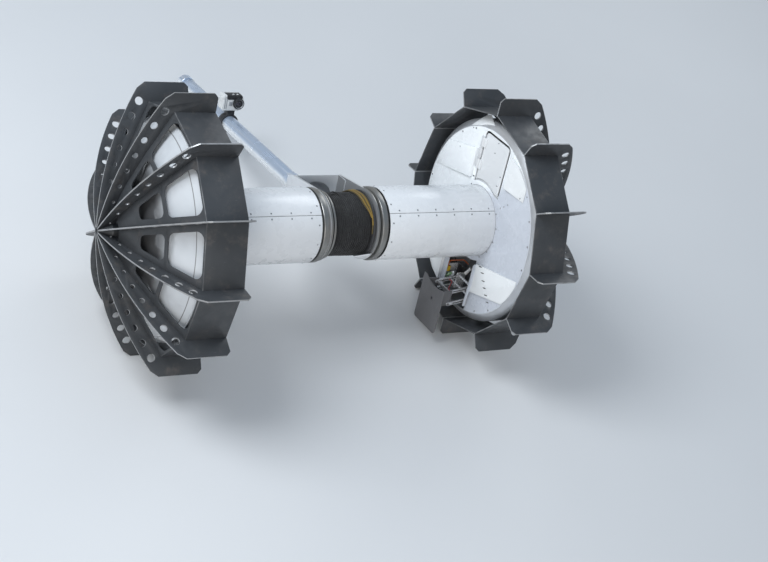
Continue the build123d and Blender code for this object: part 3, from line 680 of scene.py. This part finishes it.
def fasteners(name, places, radius, height, depth,
              body="body", slot="shaft_metal", finish=SCREW_STEEL, **sizes):
    """Fasteners at (point, facing, along) places, as one piece on a body."""
    points, *ways = zip(*places)
    mesh = bpy.data.meshes.new(name)
    mesh.from_pydata(points, [], [])
    for title, column in zip(WAYS, ways):
        values = mesh.attributes.new(title, "FLOAT_VECTOR", "POINT").data
        for item, way in zip(values, column):
            item.vector = way
    piece = run_tree(name, mesh, FASTENERS, 25, finish=finish,
                     head_radius=radius, head_height=height, recess_depth=depth, **sizes)
    for title in WAYS:
        if title in piece.data.attributes:
            piece.data.attributes.remove(piece.data.attributes[title])
    return ride_with(piece, body)


# Wheels: folded sheet and ribs with worn edges, and turned hubs

for name, side in SIDES.items():
    finished_copy(f"wheel_{name}_ribs", RIB_SHEET, 0.0005, edge=CUT_EDGE)
    finished_copy(f"wheel_{name}_panels", PANEL_SHEET, 0.0007)
    turned_for(f"wheel_{name}_hub", f"hub_{name}", (
        (0.619, 0.02005), (0.619, 0.034), (0.668, 0.034), (0.700, 0.010), (0.700, 0.005),
        (0.676, 0.005), (0.676, 0.0), (0.664, 0.0), (0.664, 0.02005),
    ), DARK_HUB, 0.0012, side=side, steps=64)

# Body: tubes in two half shells, rings, wells and domes

for name, side in SIDES.items():
    shell = [
        (WELL_FACE - 0.0005, TUBE_RADIUS), (WELL_FACE - 0.0005, TUBE_RADIUS - TUBE_WALL),
        (TUBE_START, TUBE_RADIUS - TUBE_WALL), (TUBE_START, TUBE_RADIUS),
    ]
    shells = [
        fixed(turned(
            f"tube_shell_{name}_{half + 1}", shell, WHITE, side=side,
            start=SEAM_ANGLE + pi * half + SEAM_GAP / 2, sweep=pi - SEAM_GAP,
        ), 0.0006)
        for half in range(2)
    ]
    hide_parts(f"axle_tube_{name}")

    ring = turned_for(f"end_ring_{name}", f"end_ring_{name}_turned", (
        (0.082, 0.030), (0.082, 0.1005), (0.0835, 0.1025), (0.085, 0.1030), (0.0975, 0.1030),
        (0.0995, 0.1015), (0.0995, 0.0975), (0.106, 0.0975), (0.106, 0.030),
    ), RING_GREY, 0.0005, side=side)
    tinted(ring, RING_GROOVE, lambda centre, normal: abs(centre.x) > 0.0990)

    finished_copy(f"well_cover_{name}", COVER_WHITE_SHADE_AND_SUN, 0.0007, edge=WHITE_EDGE)
    turned_for(f"well_rim_{name}", f"rim_{name}_turned", (
        (WELL_FACE, FLAT_RADIUS), (WELL_FACE + BEVEL_RUN, WELL_RADIUS),
        (SKIRT_END - 0.0005, WELL_RADIUS), (SKIRT_END - 0.0005, WELL_RADIUS - WELL_SHEET),
        (WELL_FACE + BEVEL_RUN + WELL_SHEET, WELL_RADIUS - WELL_SHEET),
        (WELL_FACE + WELL_SHEET, FLAT_RADIUS),
    ), RIM_GREY, 0.0012, side=side)
    # The bands take the band paint's painted sunlight.
    bands = finished_copy(f"cover_bands_{name}", BAND_WHITE_SUNLIT, 0.0009, edge=WHITE_EDGE)
    # The bands' faces towards SUNLIT take the cover paint's painted sunlight.
    tinted(bands, COVER_WHITE_SHADE_AND_SUN, lambda centre, normal: centre.dot(SUNLIT) > 0.085)


def circle_through(first, middle, last):
    """Centre and radius of the circle through three points of a plane."""
    (ax, ay), (bx, by), (cx, cy) = first, middle, last
    d = 2 * (ax * (by - cy) + bx * (cy - ay) + cx * (ay - by))
    a, b, c = ax * ax + ay * ay, bx * bx + by * by, cx * cx + cy * cy
    ux = (a * (by - cy) + b * (cy - ay) + c * (ay - by)) / d
    uy = (a * (cx - bx) + b * (ax - cx) + c * (bx - ax)) / d
    return (ux, uy), hypot(ax - ux, ay - uy)


DOME_BELLY, DOME_NOSE, DOME_BORE = (0.588, 0.208), (0.616, 0.106), 0.026
centre, radius = circle_through((SKIRT_END, WELL_RADIUS), DOME_BELLY, DOME_NOSE)
outer, inner = [], []
for i in range(25):
    x = SKIRT_END + (DOME_NOSE[0] - SKIRT_END) * (i / 24)
    r = WELL_RADIUS + (DOME_NOSE[1] - WELL_RADIUS) * (i / 24)
    way = Vector((x - centre[0], r - centre[1])).normalized() * radius
    x, r = centre[0] + way.x, centre[1] + way.y
    outer.append((x, r))
    way = Vector((x - centre[0], r - centre[1])).normalized() * WELL_SHEET
    inner.append((x - way.x, r - way.y))
inner[-1] = (DOME_NOSE[0] - WELL_SHEET, inner[-1][1])
outer += [(DOME_NOSE[0], DOME_BORE), (DOME_NOSE[0] - WELL_SHEET, DOME_BORE)]
for name, side in SIDES.items():
    turned_for(f"well_dome_{name}", f"dome_{name}_turned", outer + inner[::-1], DOME, side=side, smooth=35)


def bay_plate(name, x, outline, sheet, finish, edge, axes=IN_BAY):
    """A flat plate across a bay, at a depth along the axle, over an outline of e, g points."""
    plate = prism(name, [(x, e, g) for e, g in outline], (sheet, 0, 0), finish, matrix=axes)
    return fixed(plate, edge)


# Seams where the tubes meet the covers
SEAM = [(WELL_FACE + x, r) for x, r in (
    (-0.0007, 0.1005), (-0.0007, 0.1038), (0.0008, 0.1038), (0.0008, 0.1005),
)]
for name, side in SIDES.items():
    fixed(turned(f"foot_seam_{name}", SEAM, GROOVE_GREY, side=side), 0.0002)

# Doors, hinges, lips behind the closed doors' gaps and the open bay's frame
LIP_X, LIP_SHEET = 0.4572, 0.0012
LIP = [
    (0.245, -0.068), (0.116, -0.068), *arc((0, 0), 0.105, -30, 36, 11), *arc((0, 0), 0.130, 36, -18, 9),
    (0.128, -0.044), (0.245, -0.044),
]
DOORS = [node for node in PARTS if node.startswith("door_")]
for node in DOORS:
    finished_copy(f"bay_{node}", DOOR_WHITE, 0.0007, edge=WHITE_EDGE)
    name, bay = node.split("_")[1:]
    bay_plate(f"bay_lip_{name}_{bay}", LIP_X, LIP, LIP_SHEET, WHITE, 0.0003, bay_axes(bay, SIDES[name]))
finished_copy("door_hinges", WHITE_EDGE, 0.0004)
bay_frame = finished_copy("bay_frame", BAR_METAL, 0.0005)
tinted(bay_frame, BLACK, lambda centre, normal: abs(normal.x) > 0.9 and centre.x > 0.495)
finished_copy("instrument_plate", PLATE_GREY, 0.0006, edge=CUT_EDGE)
for node in ("instrument_link_inner", "instrument_link_outer"):
    finished_copy(node, BAR_METAL, 0.0006)

# Open bay: folded strip on the band's edge, drive, bracket, terminals, cross rods and slots in the bars
# The strip takes the cover paint with its painted shade.
bay_plate("bay_edge_strip", 0.4424, (
    (0.111, -0.064), (0.118, -0.0588), (0.197, -0.0588), (0.254, -0.0570), (0.246, -0.0660),
    (0.199, -0.0710), (0.173, -0.0740), (0.139, -0.0740), (0.108, -0.0700),
), 0.0013, COVER_WHITE_SHADE_AND_SUN, 0.0004)
# The edge wall takes painted shade.
ride_with(block("bay_edge_wall", (0.4430, 0.116, -0.0602), (0.4522, 0.252, -0.0590), LIP_GREY_SHADED,
                matrix=IN_BAY), "body")
bay_plate("bay_bracket", 0.4665, (
    (0.198, 0.054), (0.210, 0.051), (0.242, 0.080), (0.242, 0.0885), (0.220, 0.0885),
), 0.0015, BAR_METAL, 0.0004)


def rod(name, body, finish, start, end, outline):
    """Revolve an outline of run, radius points about the line from start to end, in bay axes."""
    start, end = IN_BAY @ Vector(start), IN_BAY @ Vector(end)
    turn = (end - start).to_track_quat("X", "Z").to_matrix().to_4x4()
    piece = turned(name, outline, finish, matrix=Matrix.Translation(start) @ turn, steps=24)
    ride_with(piece, body)


rod("bay_drive", "body", CAMERA_GREY, (0.4852, 0.162, 0.0022), (0.4852, 0.190, 0.0218), (
    (0.0, 0.0), (0.0, 0.0040), (0.0012, 0.0050), (0.0060, 0.0050), (0.0066, 0.0044),
    (0.0270, 0.0044), (0.0276, 0.0050), (0.0330, 0.0050), (0.0342, 0.0040), (0.0342, 0.0),
))
CROSS_ROD = ((0.0, 0.0), (0.0, 0.0010), (0.0006, 0.0014), (0.0626, 0.0014), (0.0632, 0.0010), (0.0632, 0.0))
for i, (x, e) in enumerate(((0.4452, 0.2108), (0.4058, 0.2177))):
    rod(f"link_rod_{i + 1}", "link_inner", BAR_METAL,
        (x, e, -0.0316), (x, e, 0.0316), CROSS_ROD)
row = IN_BAY @ Matrix.Translation((0.4585, 0.222, 0.076)) @ Matrix.Rotation(radians(47), 4, "X")
terminals = block("bay_terminals", (0, -0.017, -0.0038), (0.0082, 0.017, 0.0038), GREEN, matrix=row)
ride_with(terminals, "body")
spots = [(row @ Vector((0, -0.0135 + 0.009 * i, 0)), -AXLE, BODY_UP) for i in range(4)]
fasteners("terminal_screws", spots, 0.0019, 0.0005, 0.0004, finish=BAR_METAL, recess_share=0.6)
LINK_PIVOT, LINK_LEAN = 0.478, Matrix.Rotation(radians(170), 4, "Z")        # of the links at rest
# Slots in the bars are near-black blocks of painted shade.
LINK_SLOT = ((0.015, -0.0016, -0.00268), (0.065, 0.0016, 0.00268))
for link, e, offset in (("inner", 0.205, 0.034), ("outer", 0.237, 0.045)):
    for hand, g in (("near", -offset), ("far", offset)):
        bar = IN_BAY @ Matrix.Translation((LINK_PIVOT, e, g)) @ LINK_LEAN
        slot = block(f"link_slot_{link}_{hand}", *LINK_SLOT, RECESS_SHADE_BLACK, matrix=bar, edge=0.0003)
        ride_with(slot, f"link_{link}")


# Screws of the body
def on_tube(x, angle):
    """Place, facing and along of a screw on a tube."""
    return around_axle(x, TUBE_RADIUS, angle), around_axle(0, 1, angle), AXLE


seam_screws, edge_screws, foot_screws = [], [], []
for side in SIDES.values():
    for seam in (SEAM_ANGLE, SEAM_ANGLE + pi):
        seam_screws += [
            on_tube(side * (0.137 + 0.059 * i), seam + shift / TUBE_RADIUS)
            for i in range(6) for shift in (-0.008, 0.008)
        ]
    seam_screws += [on_tube(side * 0.115, SEAM_ANGLE + tau * (i + 0.5) / 12) for i in range(12)]
    for bay in ("lower", "upper"):
        for screws, radius, angles in (
            (edge_screws, 0.265, [-116 + 15.3 * i for i in range(7) if i != 3]),
            (foot_screws, 0.1072, [-126 + 22.5 * i for i in range(5)]),
        ):
            for angle in map(radians, angles):
                place = bay_point(side * WELL_FACE, bay, radius * cos(angle), radius * sin(angle))
                screws.append((place, Vector((-side, 0, 0)), AXLE))
fasteners("seam_screws", seam_screws, 0.0024, 0.0009, 0.0007, sides=10)
fasteners("edge_screws", edge_screws, 0.0030, 0.0011, 0.0008)
fasteners("foot_screws", foot_screws, 0.0024, 0.0010, 0.0007)

# Slots, catches and hinge screws on the inner faces, as the photograph has them on the right, in mm
BAND_SLOTS = ((104, -91), (116, -107), (135, -120), (151, -133), (167, -147), (186, -155))
LOWER_SCREWS = ((-88, -98), (-99, -112), (-112, -126), (-173, -199), (-156, -175))
UPPER_SCREWS = ((163, -155), (238, -122), (100, -92))
HINGE_SCREWS = ((175, -56), (152, -59), (141, -58), (112, -63), (232, -56))
CATCHES = ((216, 7), (249, 13), (166, 59), (136, 55))


def on_faces(nodes, side, bay, spots, along):
    """Places of a bay's e, g spots on pieces, where they are met along the axle from the middle."""
    trees = []
    for node in nodes:
        mesh = bpy.data.objects[f"{node}_finished"].data
        trees.append(BVHTree.FromPolygons([v.co for v in mesh.vertices], [p.vertices for p in mesh.polygons]))
    found = []
    for e, g in spots:
        start = bay_point(side * 0.25, bay, e / 1000, g / 1000)
        hits = [tree.ray_cast(start, AXLE * side) for tree in trees]
        place, facing = min((hit for hit in hits if hit[0] is not None), key=lambda hit: abs(hit[0].x))[:2]
        found.append((place, facing, along))
    return found


# The band slots are raised near-black dashes of painted shade.
for name, side in SIDES.items():
    faces = (f"well_cover_{name}", f"cover_bands_{name}")
    slots = on_faces(faces, side, "lower", BAND_SLOTS, bay_point(0, "lower", -0.27, -0.96))
    fasteners(f"band_slots_{name}", slots, 0.0016, 0.0004, 0.0003, stretch=5.2, recess_share=0.7, sides=14,
              slot="instrument_black", finish=RECESS_SHADE_BLACK)
    screws = on_faces(faces, side, "lower", LOWER_SCREWS, AXLE)
    screws += on_faces(faces, side, "upper", UPPER_SCREWS, AXLE)
    fasteners(f"band_screws_{name}", screws, 0.0024, 0.0008, 0.0006, sides=10)
for node in DOORS:
    name, bay = node.split("_")[1:]
    side = SIDES[name]
    faces = ("door_hinges", f"well_cover_{name}")
    marks = on_faces(faces, side, bay, HINGE_SCREWS, bay_point(0, bay, 0.2, 1))
    fasteners(f"hinge_screws_{name}_{bay}", marks, 0.0019, 0.0007, 0.0004, stretch=2.8, recess_share=0.5,
              slot="instrument_black", finish=BLOCK_GREY)
    catches = on_faces((f"bay_{node}",), side, bay, CATCHES, bay_point(0, bay, 0.3, 1))
    fasteners(f"catches_{name}_{bay}", catches, 0.0015, 0.0006, 0.0004, stretch=2.4, recess_share=0.5,
              body=node)

# White tongue bent over the bevel beside each upper bay: degrees, inner and outer radius
TONGUE = ((-28.6, 0.2735, 0.2762), (-18.9, 0.2735, 0.3030), (-15.6, 0.2768, 0.3048), (-7.5, 0.2838, 0.2846))
BEVEL_SLOPE = Vector((BEVEL_RUN, WELL_RADIUS - FLAT_RADIUS)).normalized()


def between(stations, value):
    """Values of a table at a place along its first column."""
    for first, second in zip(stations, stations[1:]):
        if value <= second[0]:
            share = (value - first[0]) / (second[0] - first[0])
            return [a + (b - a) * share for a, b in zip(first[1:], second[1:])]
    return list(stations[-1][1:])


for name, side in SIDES.items():
    rows = []
    for i in range(22):
        angle = TONGUE[0][0] + (TONGUE[-1][0] - TONGUE[0][0]) * i / 21
        inner, outer = between(TONGUE, angle)
        radii = (inner, (inner + outer) / 2, outer)
        row = []
        for lift, r in [(0.0020, r) for r in radii] + [(0.0002, r) for r in radii[::-1]]:
            x = WELL_FACE + (r - FLAT_RADIUS) * BEVEL_SLOPE.x / BEVEL_SLOPE.y - lift * BEVEL_SLOPE.y
            reach = r + lift * BEVEL_SLOPE.x
            e, g = reach * cos(radians(angle)), reach * sin(radians(angle))
            row.append(bay_point(side * x, "upper", e, g))
        rows.append(row)
    # The tongue takes the band paint's painted sunlight.
    fixed(lofted(f"cover_tongue_{name}", rows, BAND_WHITE_SUNLIT), 0.0004)

# Spool: flanges and core in one turned piece, the left rim bare, and the wound tether
drum = turned_for("spool_drum", "drum_turned", (
    (-0.064, 0.03005), (-0.064, 0.094), (-0.058, 0.094), (-0.058, 0.045),
    (0.058, 0.045), (0.058, 0.094), (0.064, 0.094), (0.064, 0.03005),
), DARK_FLANGE, 0.0010)
tinted(drum, RING_GREY, lambda centre, normal: centre.x < 0 and centre.yz.length > 0.0932)
turned_for("tether_winding", "winding_core", (
    (-0.058, 0.045), (-0.058, 0.0800), (-0.030, 0.0835), (0.030, 0.0835), (0.058, 0.0800), (0.058, 0.045),
), TETHER, steps=96)


def winding_tree():
    """A strand wound about the axle between two flanges, uneven as a hauled line is."""
    tree = ShapeTree("wound strand", "Place", "Strand", {
        "Turns": 20.0, "Start Radius": 0.087, "End Radius": 0.087, "Width": 0.11,
        "Strand Radius": 0.0024, "Unevenness": 0.002, "Seed": 1.0, "Points": 72,
    })
    given = tree.given
    spiral = tree.out("GeometryNodeCurveSpiral", {
        "Resolution": given["Points"], "Rotations": given["Turns"], "Height": given["Width"],
        "Start Radius": given["Start Radius"], "End Radius": given["End Radius"],
    })
    half = tree.math("MULTIPLY", given["Width"], -0.5)
    centred = tree.out("GeometryNodeTransform", {"Geometry": spiral, "Translation": tree.xyz(0.0, 0.0, half)})
    lying = tree.out("GeometryNodeTransform", {"Geometry": centred, "Rotation": (0, pi / 2, 0)})
    place = tree.out("GeometryNodeInputPosition")
    moved = tree.vector("ADD", place, tree.xyz(given["Seed"], 0.0, 0.0))

    def drift(scale, detail, times):
        """Noise along the strand, as some times the unevenness either way."""
        noise = tree.math("SUBTRACT", tree.noise(moved, scale, detail, 0.5), 0.5)
        return tree.math("MULTIPLY", noise, tree.math("MULTIPLY", given["Unevenness"], times))

    outward = tree.vector("NORMALIZE", tree.stretched(place, 0, 1, 1))
    lift = tree.out("ShaderNodeVectorMath", {0: outward, "Scale": drift(17.0, 1.0, 2.0)}, operation="SCALE")
    shift = tree.vector("ADD", lift, tree.xyz(drift(28.0, 2.0, 4.0), 0.0, 0.0))
    uneven = tree.out("GeometryNodeSetPosition", {"Geometry": lying, "Offset": shift})
    return tree.ended_with(tree.tube(uneven, 6, given["Strand Radius"]))


WINDING = winding_tree()
for name, sizes in {
    "winding_under": dict(turns=23.0, start_radius=0.0835, end_radius=0.0835, width=0.108,
                          strand_radius=0.0026, unevenness=0.0016, seed=1.3),
    "winding_over": dict(turns=17.0, start_radius=0.0858, end_radius=0.0850, width=-0.100,
                         strand_radius=0.0024, unevenness=0.0022, seed=4.7),
}.items():
    layer = run_tree(name, bpy.data.meshes.new(name), WINDING, 60, finish=TETHER, **sizes)
    ride_with(layer, "spool")


def line_tree():
    """A round tube along each line of a set, smoothed through its points."""
    tree = ShapeTree("tubes along lines", "Lines", "Tubes", {"Radius": 0.002, "Sides": 8, "Cuts": 8})
    given = tree.given
    lines = tree.out("GeometryNodeMeshToCurve", {"Mesh": given["Lines"]})
    smooth = tree.out("GeometryNodeCurveSplineType", {"Curve": lines}, spline_type="CATMULL_ROM")
    fine = tree.out("GeometryNodeSetSplineResolution", {"Geometry": smooth, "Resolution": given["Cuts"]})
    return tree.ended_with(tree.tube(fine, given["Sides"], given["Radius"]))


LINES = line_tree()


def strand(name, finish, radius, stations):
    """A round strand on the spool, smoothed through stations of degrees, x and radius."""
    points = [around_axle(x, r, radians(angle)) for angle, x, r in stations]
    mesh = bpy.data.meshes.new(name)
    mesh.from_pydata(points, [(i, i + 1) for i in range(len(points) - 1)], [])
    ride_with(run_tree(name, mesh, LINES, 60, finish=finish, radius=radius), "spool")


# Ochre strands that cross the winding and run down beside the right flange: degrees, x and half width
RUN_END = 0.0556                   # the last x before the flange
OCHRE_RUN = (
    (46, 0.0370, 0.0095), (60, 0.0405, 0.0095), (75, 0.0435, 0.0095), (88, 0.0455, 0.0095),
    (99, 0.0465, 0.0090), (108, 0.0490, 0.0070), (116, 0.0520, 0.0045), (125, 0.0545, 0.0015),
    (138, 0.0555, 0.0003), (156, RUN_END, 0.0),
)
for k, (spread, finish, last, lift) in enumerate((
    (-1.0, OLIVE, 7, 0.0), (-0.5, OCHRE, 8, 0.0010), (0.0, OLIVE, 10, 0.0004), (0.5, OCHRE, 9, 0.0014),
    (1.0, OLIVE, 9, 0.0),
)):
    buried = [(8, 0.030 + 0.008 * spread, 0.0800), (26, 0.033 + 0.009 * spread, 0.0890)]
    run = [
        (angle + 3 * (k % 2), min(x + spread * width, RUN_END), 0.0908 + lift)
        for angle, x, width in OCHRE_RUN[:last]
    ]
    strand(f"ochre_strand_{k + 1}", finish, 0.0021, buried + run)
strand("stray_loop", TETHER, 0.0022, (
    (82, -0.0535, 0.0875), (76, -0.0500, 0.0925), (71, -0.0410, 0.0948), (69, -0.0320, 0.0938),
    (70, -0.0240, 0.0905), (75, -0.0180, 0.0870),
))

# Yoke, boom and what it carries
ALONG_BOOM = on_boom(0, 1, 0)
for name, side in SIDES.items():
    cheek = finished_copy(f"yoke_cheek_{name}", PALE_SHEET, 0.0008, edge=CHEEK_EDGE)
    # The cheeks' inner faces take painted shade.
    tinted(cheek, CHEEK_INSIDE_SHADED, lambda centre, normal: normal.x * side < -0.9)
    tinted(cheek, RING_GREY, lambda centre, normal: abs(normal.x) < 0.9)
    tinted(cheek, CHEEK_EDGE, lambda centre, normal: abs(normal.x) < 0.9 and centre.dot(ALONG_BOOM) > 0.045)


def is_inside(centre, normal):
    """Whether a face of the yoke's long box looks at the box's own middle line."""
    return normal.dot(on_boom(0, centre.dot(ALONG_BOOM), 0) - centre) > 0


bridge = finished_copy("yoke_bridge", PALE_SHEET, 0.0010, edge=CHEEK_EDGE)
# Faces inside the yoke's box take painted shade.
tinted(bridge, CHEEK_INSIDE_SHADED, lambda centre, normal: centre.dot(ALONG_BOOM) < 0.1215
       or centre.dot(ALONG_BOOM) < 0.1615 and normal.x * centre.x < -0.02)
tinted(bridge, PLATE_SHEET, lambda centre, normal: abs(normal.dot(ALONG_BOOM)) > 0.9
       or centre.dot(ALONG_BOOM) > 0.166 and is_inside(centre, normal))

# Guard under the winding, on the right cheek's inside
rows = []
for i in range(1, 16):
    angle = -167 + 2 * i
    inner = 0.012 + 0.0575 * (abs(angle + 158) / (9 if angle < -158 else 23)) ** 0.8
    row = ((inner, 0.1002), (0.0705, 0.1002), (0.0705, 0.0988), (inner, 0.0988))
    rows.append([around_axle(x, r, radians(angle)) for x, r in row])
fixed(lofted("winding_guard", rows, PALE_SHEET), 0.0004, "boom")

# Turned pieces of the boom, as outlines of b, radius points about it
turned_for("boom_socket", "socket_turned", (
    (0.283, 0.02405), (0.283, 0.027), (0.290, 0.0268), (0.309, 0.0248), (0.309, 0.02405),
), BOOM_METAL_PAINTED_REFLECTION, 0.0002, matrix=BOOM_AXIS, steps=64)
turned_for("boom_tube", "boom_drawn", (
    (0.283, 0.021), (0.283, 0.024), (1.092, 0.024), (1.092, 0.021),
), BOOM_METAL_PAINTED_REFLECTION, 0.0005, matrix=BOOM_AXIS, steps=96)
turned_for("boom_tip", "boom_tip_turned", (
    (1.060, 0.006), (1.060, 0.0209), (1.092, 0.0209), (1.092, 0.0262), (1.093, 0.027),
    *arc((1.118, 0.015), 0.012, 90, 0), (1.130, 0.009), (1.127, 0.006),
), BOOM_METAL_PAINTED_REFLECTION, matrix=BOOM_AXIS, steps=64)
finished_copy("camera_mount", BLACK, 0.0010, 3)

# Small action camera: housing with a cut end, dark top, window, grooves, latch, buttons and lens
HOUSING = (
    (-0.032, 0.044), (0.022, 0.044), (0.031, 0.050), (0.035, 0.060), (0.035, 0.078), (0.030, 0.090),
    (0.026, 0.094), (-0.032, 0.094), (-0.035, 0.090), (-0.035, 0.048),
)
TOP = ((-0.024, 0.0943), (-0.024, 0.085), (-0.019, 0.080), (0.026, 0.080), (0.030, 0.088), (0.0262, 0.0943))


def camera_plate(name, outline, b, depth, finish):
    """A plate across the boom from b backward, over an outline of x, n points."""
    return prism(name, [(x, b, n) for x, n in outline], (0, depth, 0), finish, matrix=BOOM)


housing = camera_plate("camera_housing", HOUSING, 0.748, 0.035, CAMERA_GREY)
stand_for(soften(housing, 0.0016, 3), "camera_body")
top = camera_plate("camera_top", TOP, 0.7472, 0.0275, BLACK)
fixed(top, 0.0006, "boom")
for name, low, high, finish, edge, slot in (
    ("window", (-0.014, 0.7470, 0.060), (-0.003, 0.7485, 0.073), GROOVE_GREY, 0.0005, "camera_black"),
    ("groove_1", (-0.0290, 0.7474, 0.050), (-0.0262, 0.7485, 0.088), GROOVE_GREY, 0.0004, "camera_black"),
    ("groove_2", (-0.0235, 0.7474, 0.050), (-0.0207, 0.7485, 0.088), GROOVE_GREY, 0.0004, "camera_black"),
    ("latch", (-0.0375, 0.754, 0.072), (-0.0345, 0.776, 0.086), CAMERA_GREY, 0.0012, "camera_silver"),
):
    ride_with(block(f"camera_{name}", low, high, finish, matrix=BOOM, edge=edge), "boom")
buttons = [(on_boom(x, 0.757, 0.0944), on_boom(0, 0, 1), AXLE) for x in (0.000, 0.014)]
fasteners("camera_buttons", buttons, 0.0036, 0.0010, 0.0004, recess_share=0.7, sides=20,
          body="boom", slot="camera_silver", finish=CAMERA_GREY)
LENS_AXIS = Matrix.Translation(on_boom(0.016, 0, 0.069)) @ BOOM_AXIS
TO_LENS = LENS_AXIS.inverted()


def in_groove(centre, normal):
    """Whether a face lies in the lens ring's inner step."""
    b, x, n = TO_LENS @ centre
    return 0.7375 < b < 0.7397 and hypot(x, n) < 0.0142


lens_ring = turned_for("camera_lens", "camera_lens_ring", (
    (0.7478, 0.0178), (0.7400, 0.0178), (0.7374, 0.0166), (0.7374, 0.0142), (0.7398, 0.0128),
    (0.7398, 0.0104), (0.7420, 0.0096), (0.7478, 0.0096),
), BLACK, 0.0003, matrix=LENS_AXIS, steps=64)
tinted(lens_ring, GROOVE_GREY, in_groove)
glass = turned("camera_glass", (
    (0.7412, 0.0), (0.7398, 0.0), (0.7401, 0.004), (0.7409, 0.0085), (0.7418, 0.0099),
    (0.7430, 0.0099), (0.7430, 0.0),
), GLASS, matrix=LENS_AXIS, steps=48)
ride_with(glass, "boom")

# Stage: pale floor, soft lamps and the camera of the photograph
floor_height = cad_box[0][2]
floor_mesh = bpy.data.meshes.new("studio_floor")
corners = [(x, y, floor_height) for x, y in ((-12, -12), (12, -12), (12, 12), (-12, 12))]
floor_mesh.from_pydata(corners, [], [(0, 1, 2, 3)])
floor = Finish("pale floor", Roughness=0.85)
floor_finish = floor.wire(floor.mix(floor.noise(1.5, 2.0), grey(0.72), grey(0.76)))
new_piece("studio_floor", floor_mesh, floor_finish)


def lamp(name, direction, distance, size, power, colour=(1, 1, 1)):
    """A soft square lamp that looks at the rover from a direction."""
    light = bpy.data.lights.new(name, "AREA")
    light.size = size
    light.energy = power
    light.color = colour
    made = bpy.data.objects.new(name, light)
    way = Vector(direction).normalized()
    made.location = way * distance
    made.rotation_euler = way.to_track_quat("Z", "Y").to_euler()
    bpy.context.scene.collection.objects.link(made)


lamp("key", (-0.68, 0.10, 0.85), 4.0, 1.8, 106, (0.91, 0.965, 1.02))
lamp("fill", (-0.55, -0.95, 0.35), 4.5, 2.6, 62, (1.0, 0.97, 0.935))
lamp("rim", (0.9, 0.7, 0.8), 4.5, 2.0, 34, (0.95, 0.98, 1.0))

world = bpy.data.worlds.new("studio")
bpy.context.scene.world = world
world.use_nodes = True
sky = Tree(world.node_tree)
height = sky.add("ShaderNodeSeparateXYZ", {0: sky.add("ShaderNodeTexCoord").outputs["Generated"]}).outputs[2]
sky_colour = sky.mix(sky.fade(height, 0.0, 0.9), (0.97, 0.96, 0.94, 1), (0.62, 0.79, 1.0, 1))
background = world.node_tree.nodes["Background"]
world.node_tree.links.new(sky_colour, background.inputs["Color"])
background.inputs["Strength"].default_value = 0.45

lens = bpy.data.cameras.new("photo_camera")
lens.lens = CAMERA_LENS
camera = bpy.data.objects.new("photo_camera", lens)
camera.location = CAMERA_PLACE
camera.rotation_euler = [radians(turn) for turn in CAMERA_TURN]
bpy.context.scene.collection.objects.link(camera)
bpy.context.scene.camera = camera
bpy.context.scene.view_settings.view_transform = "Standard"
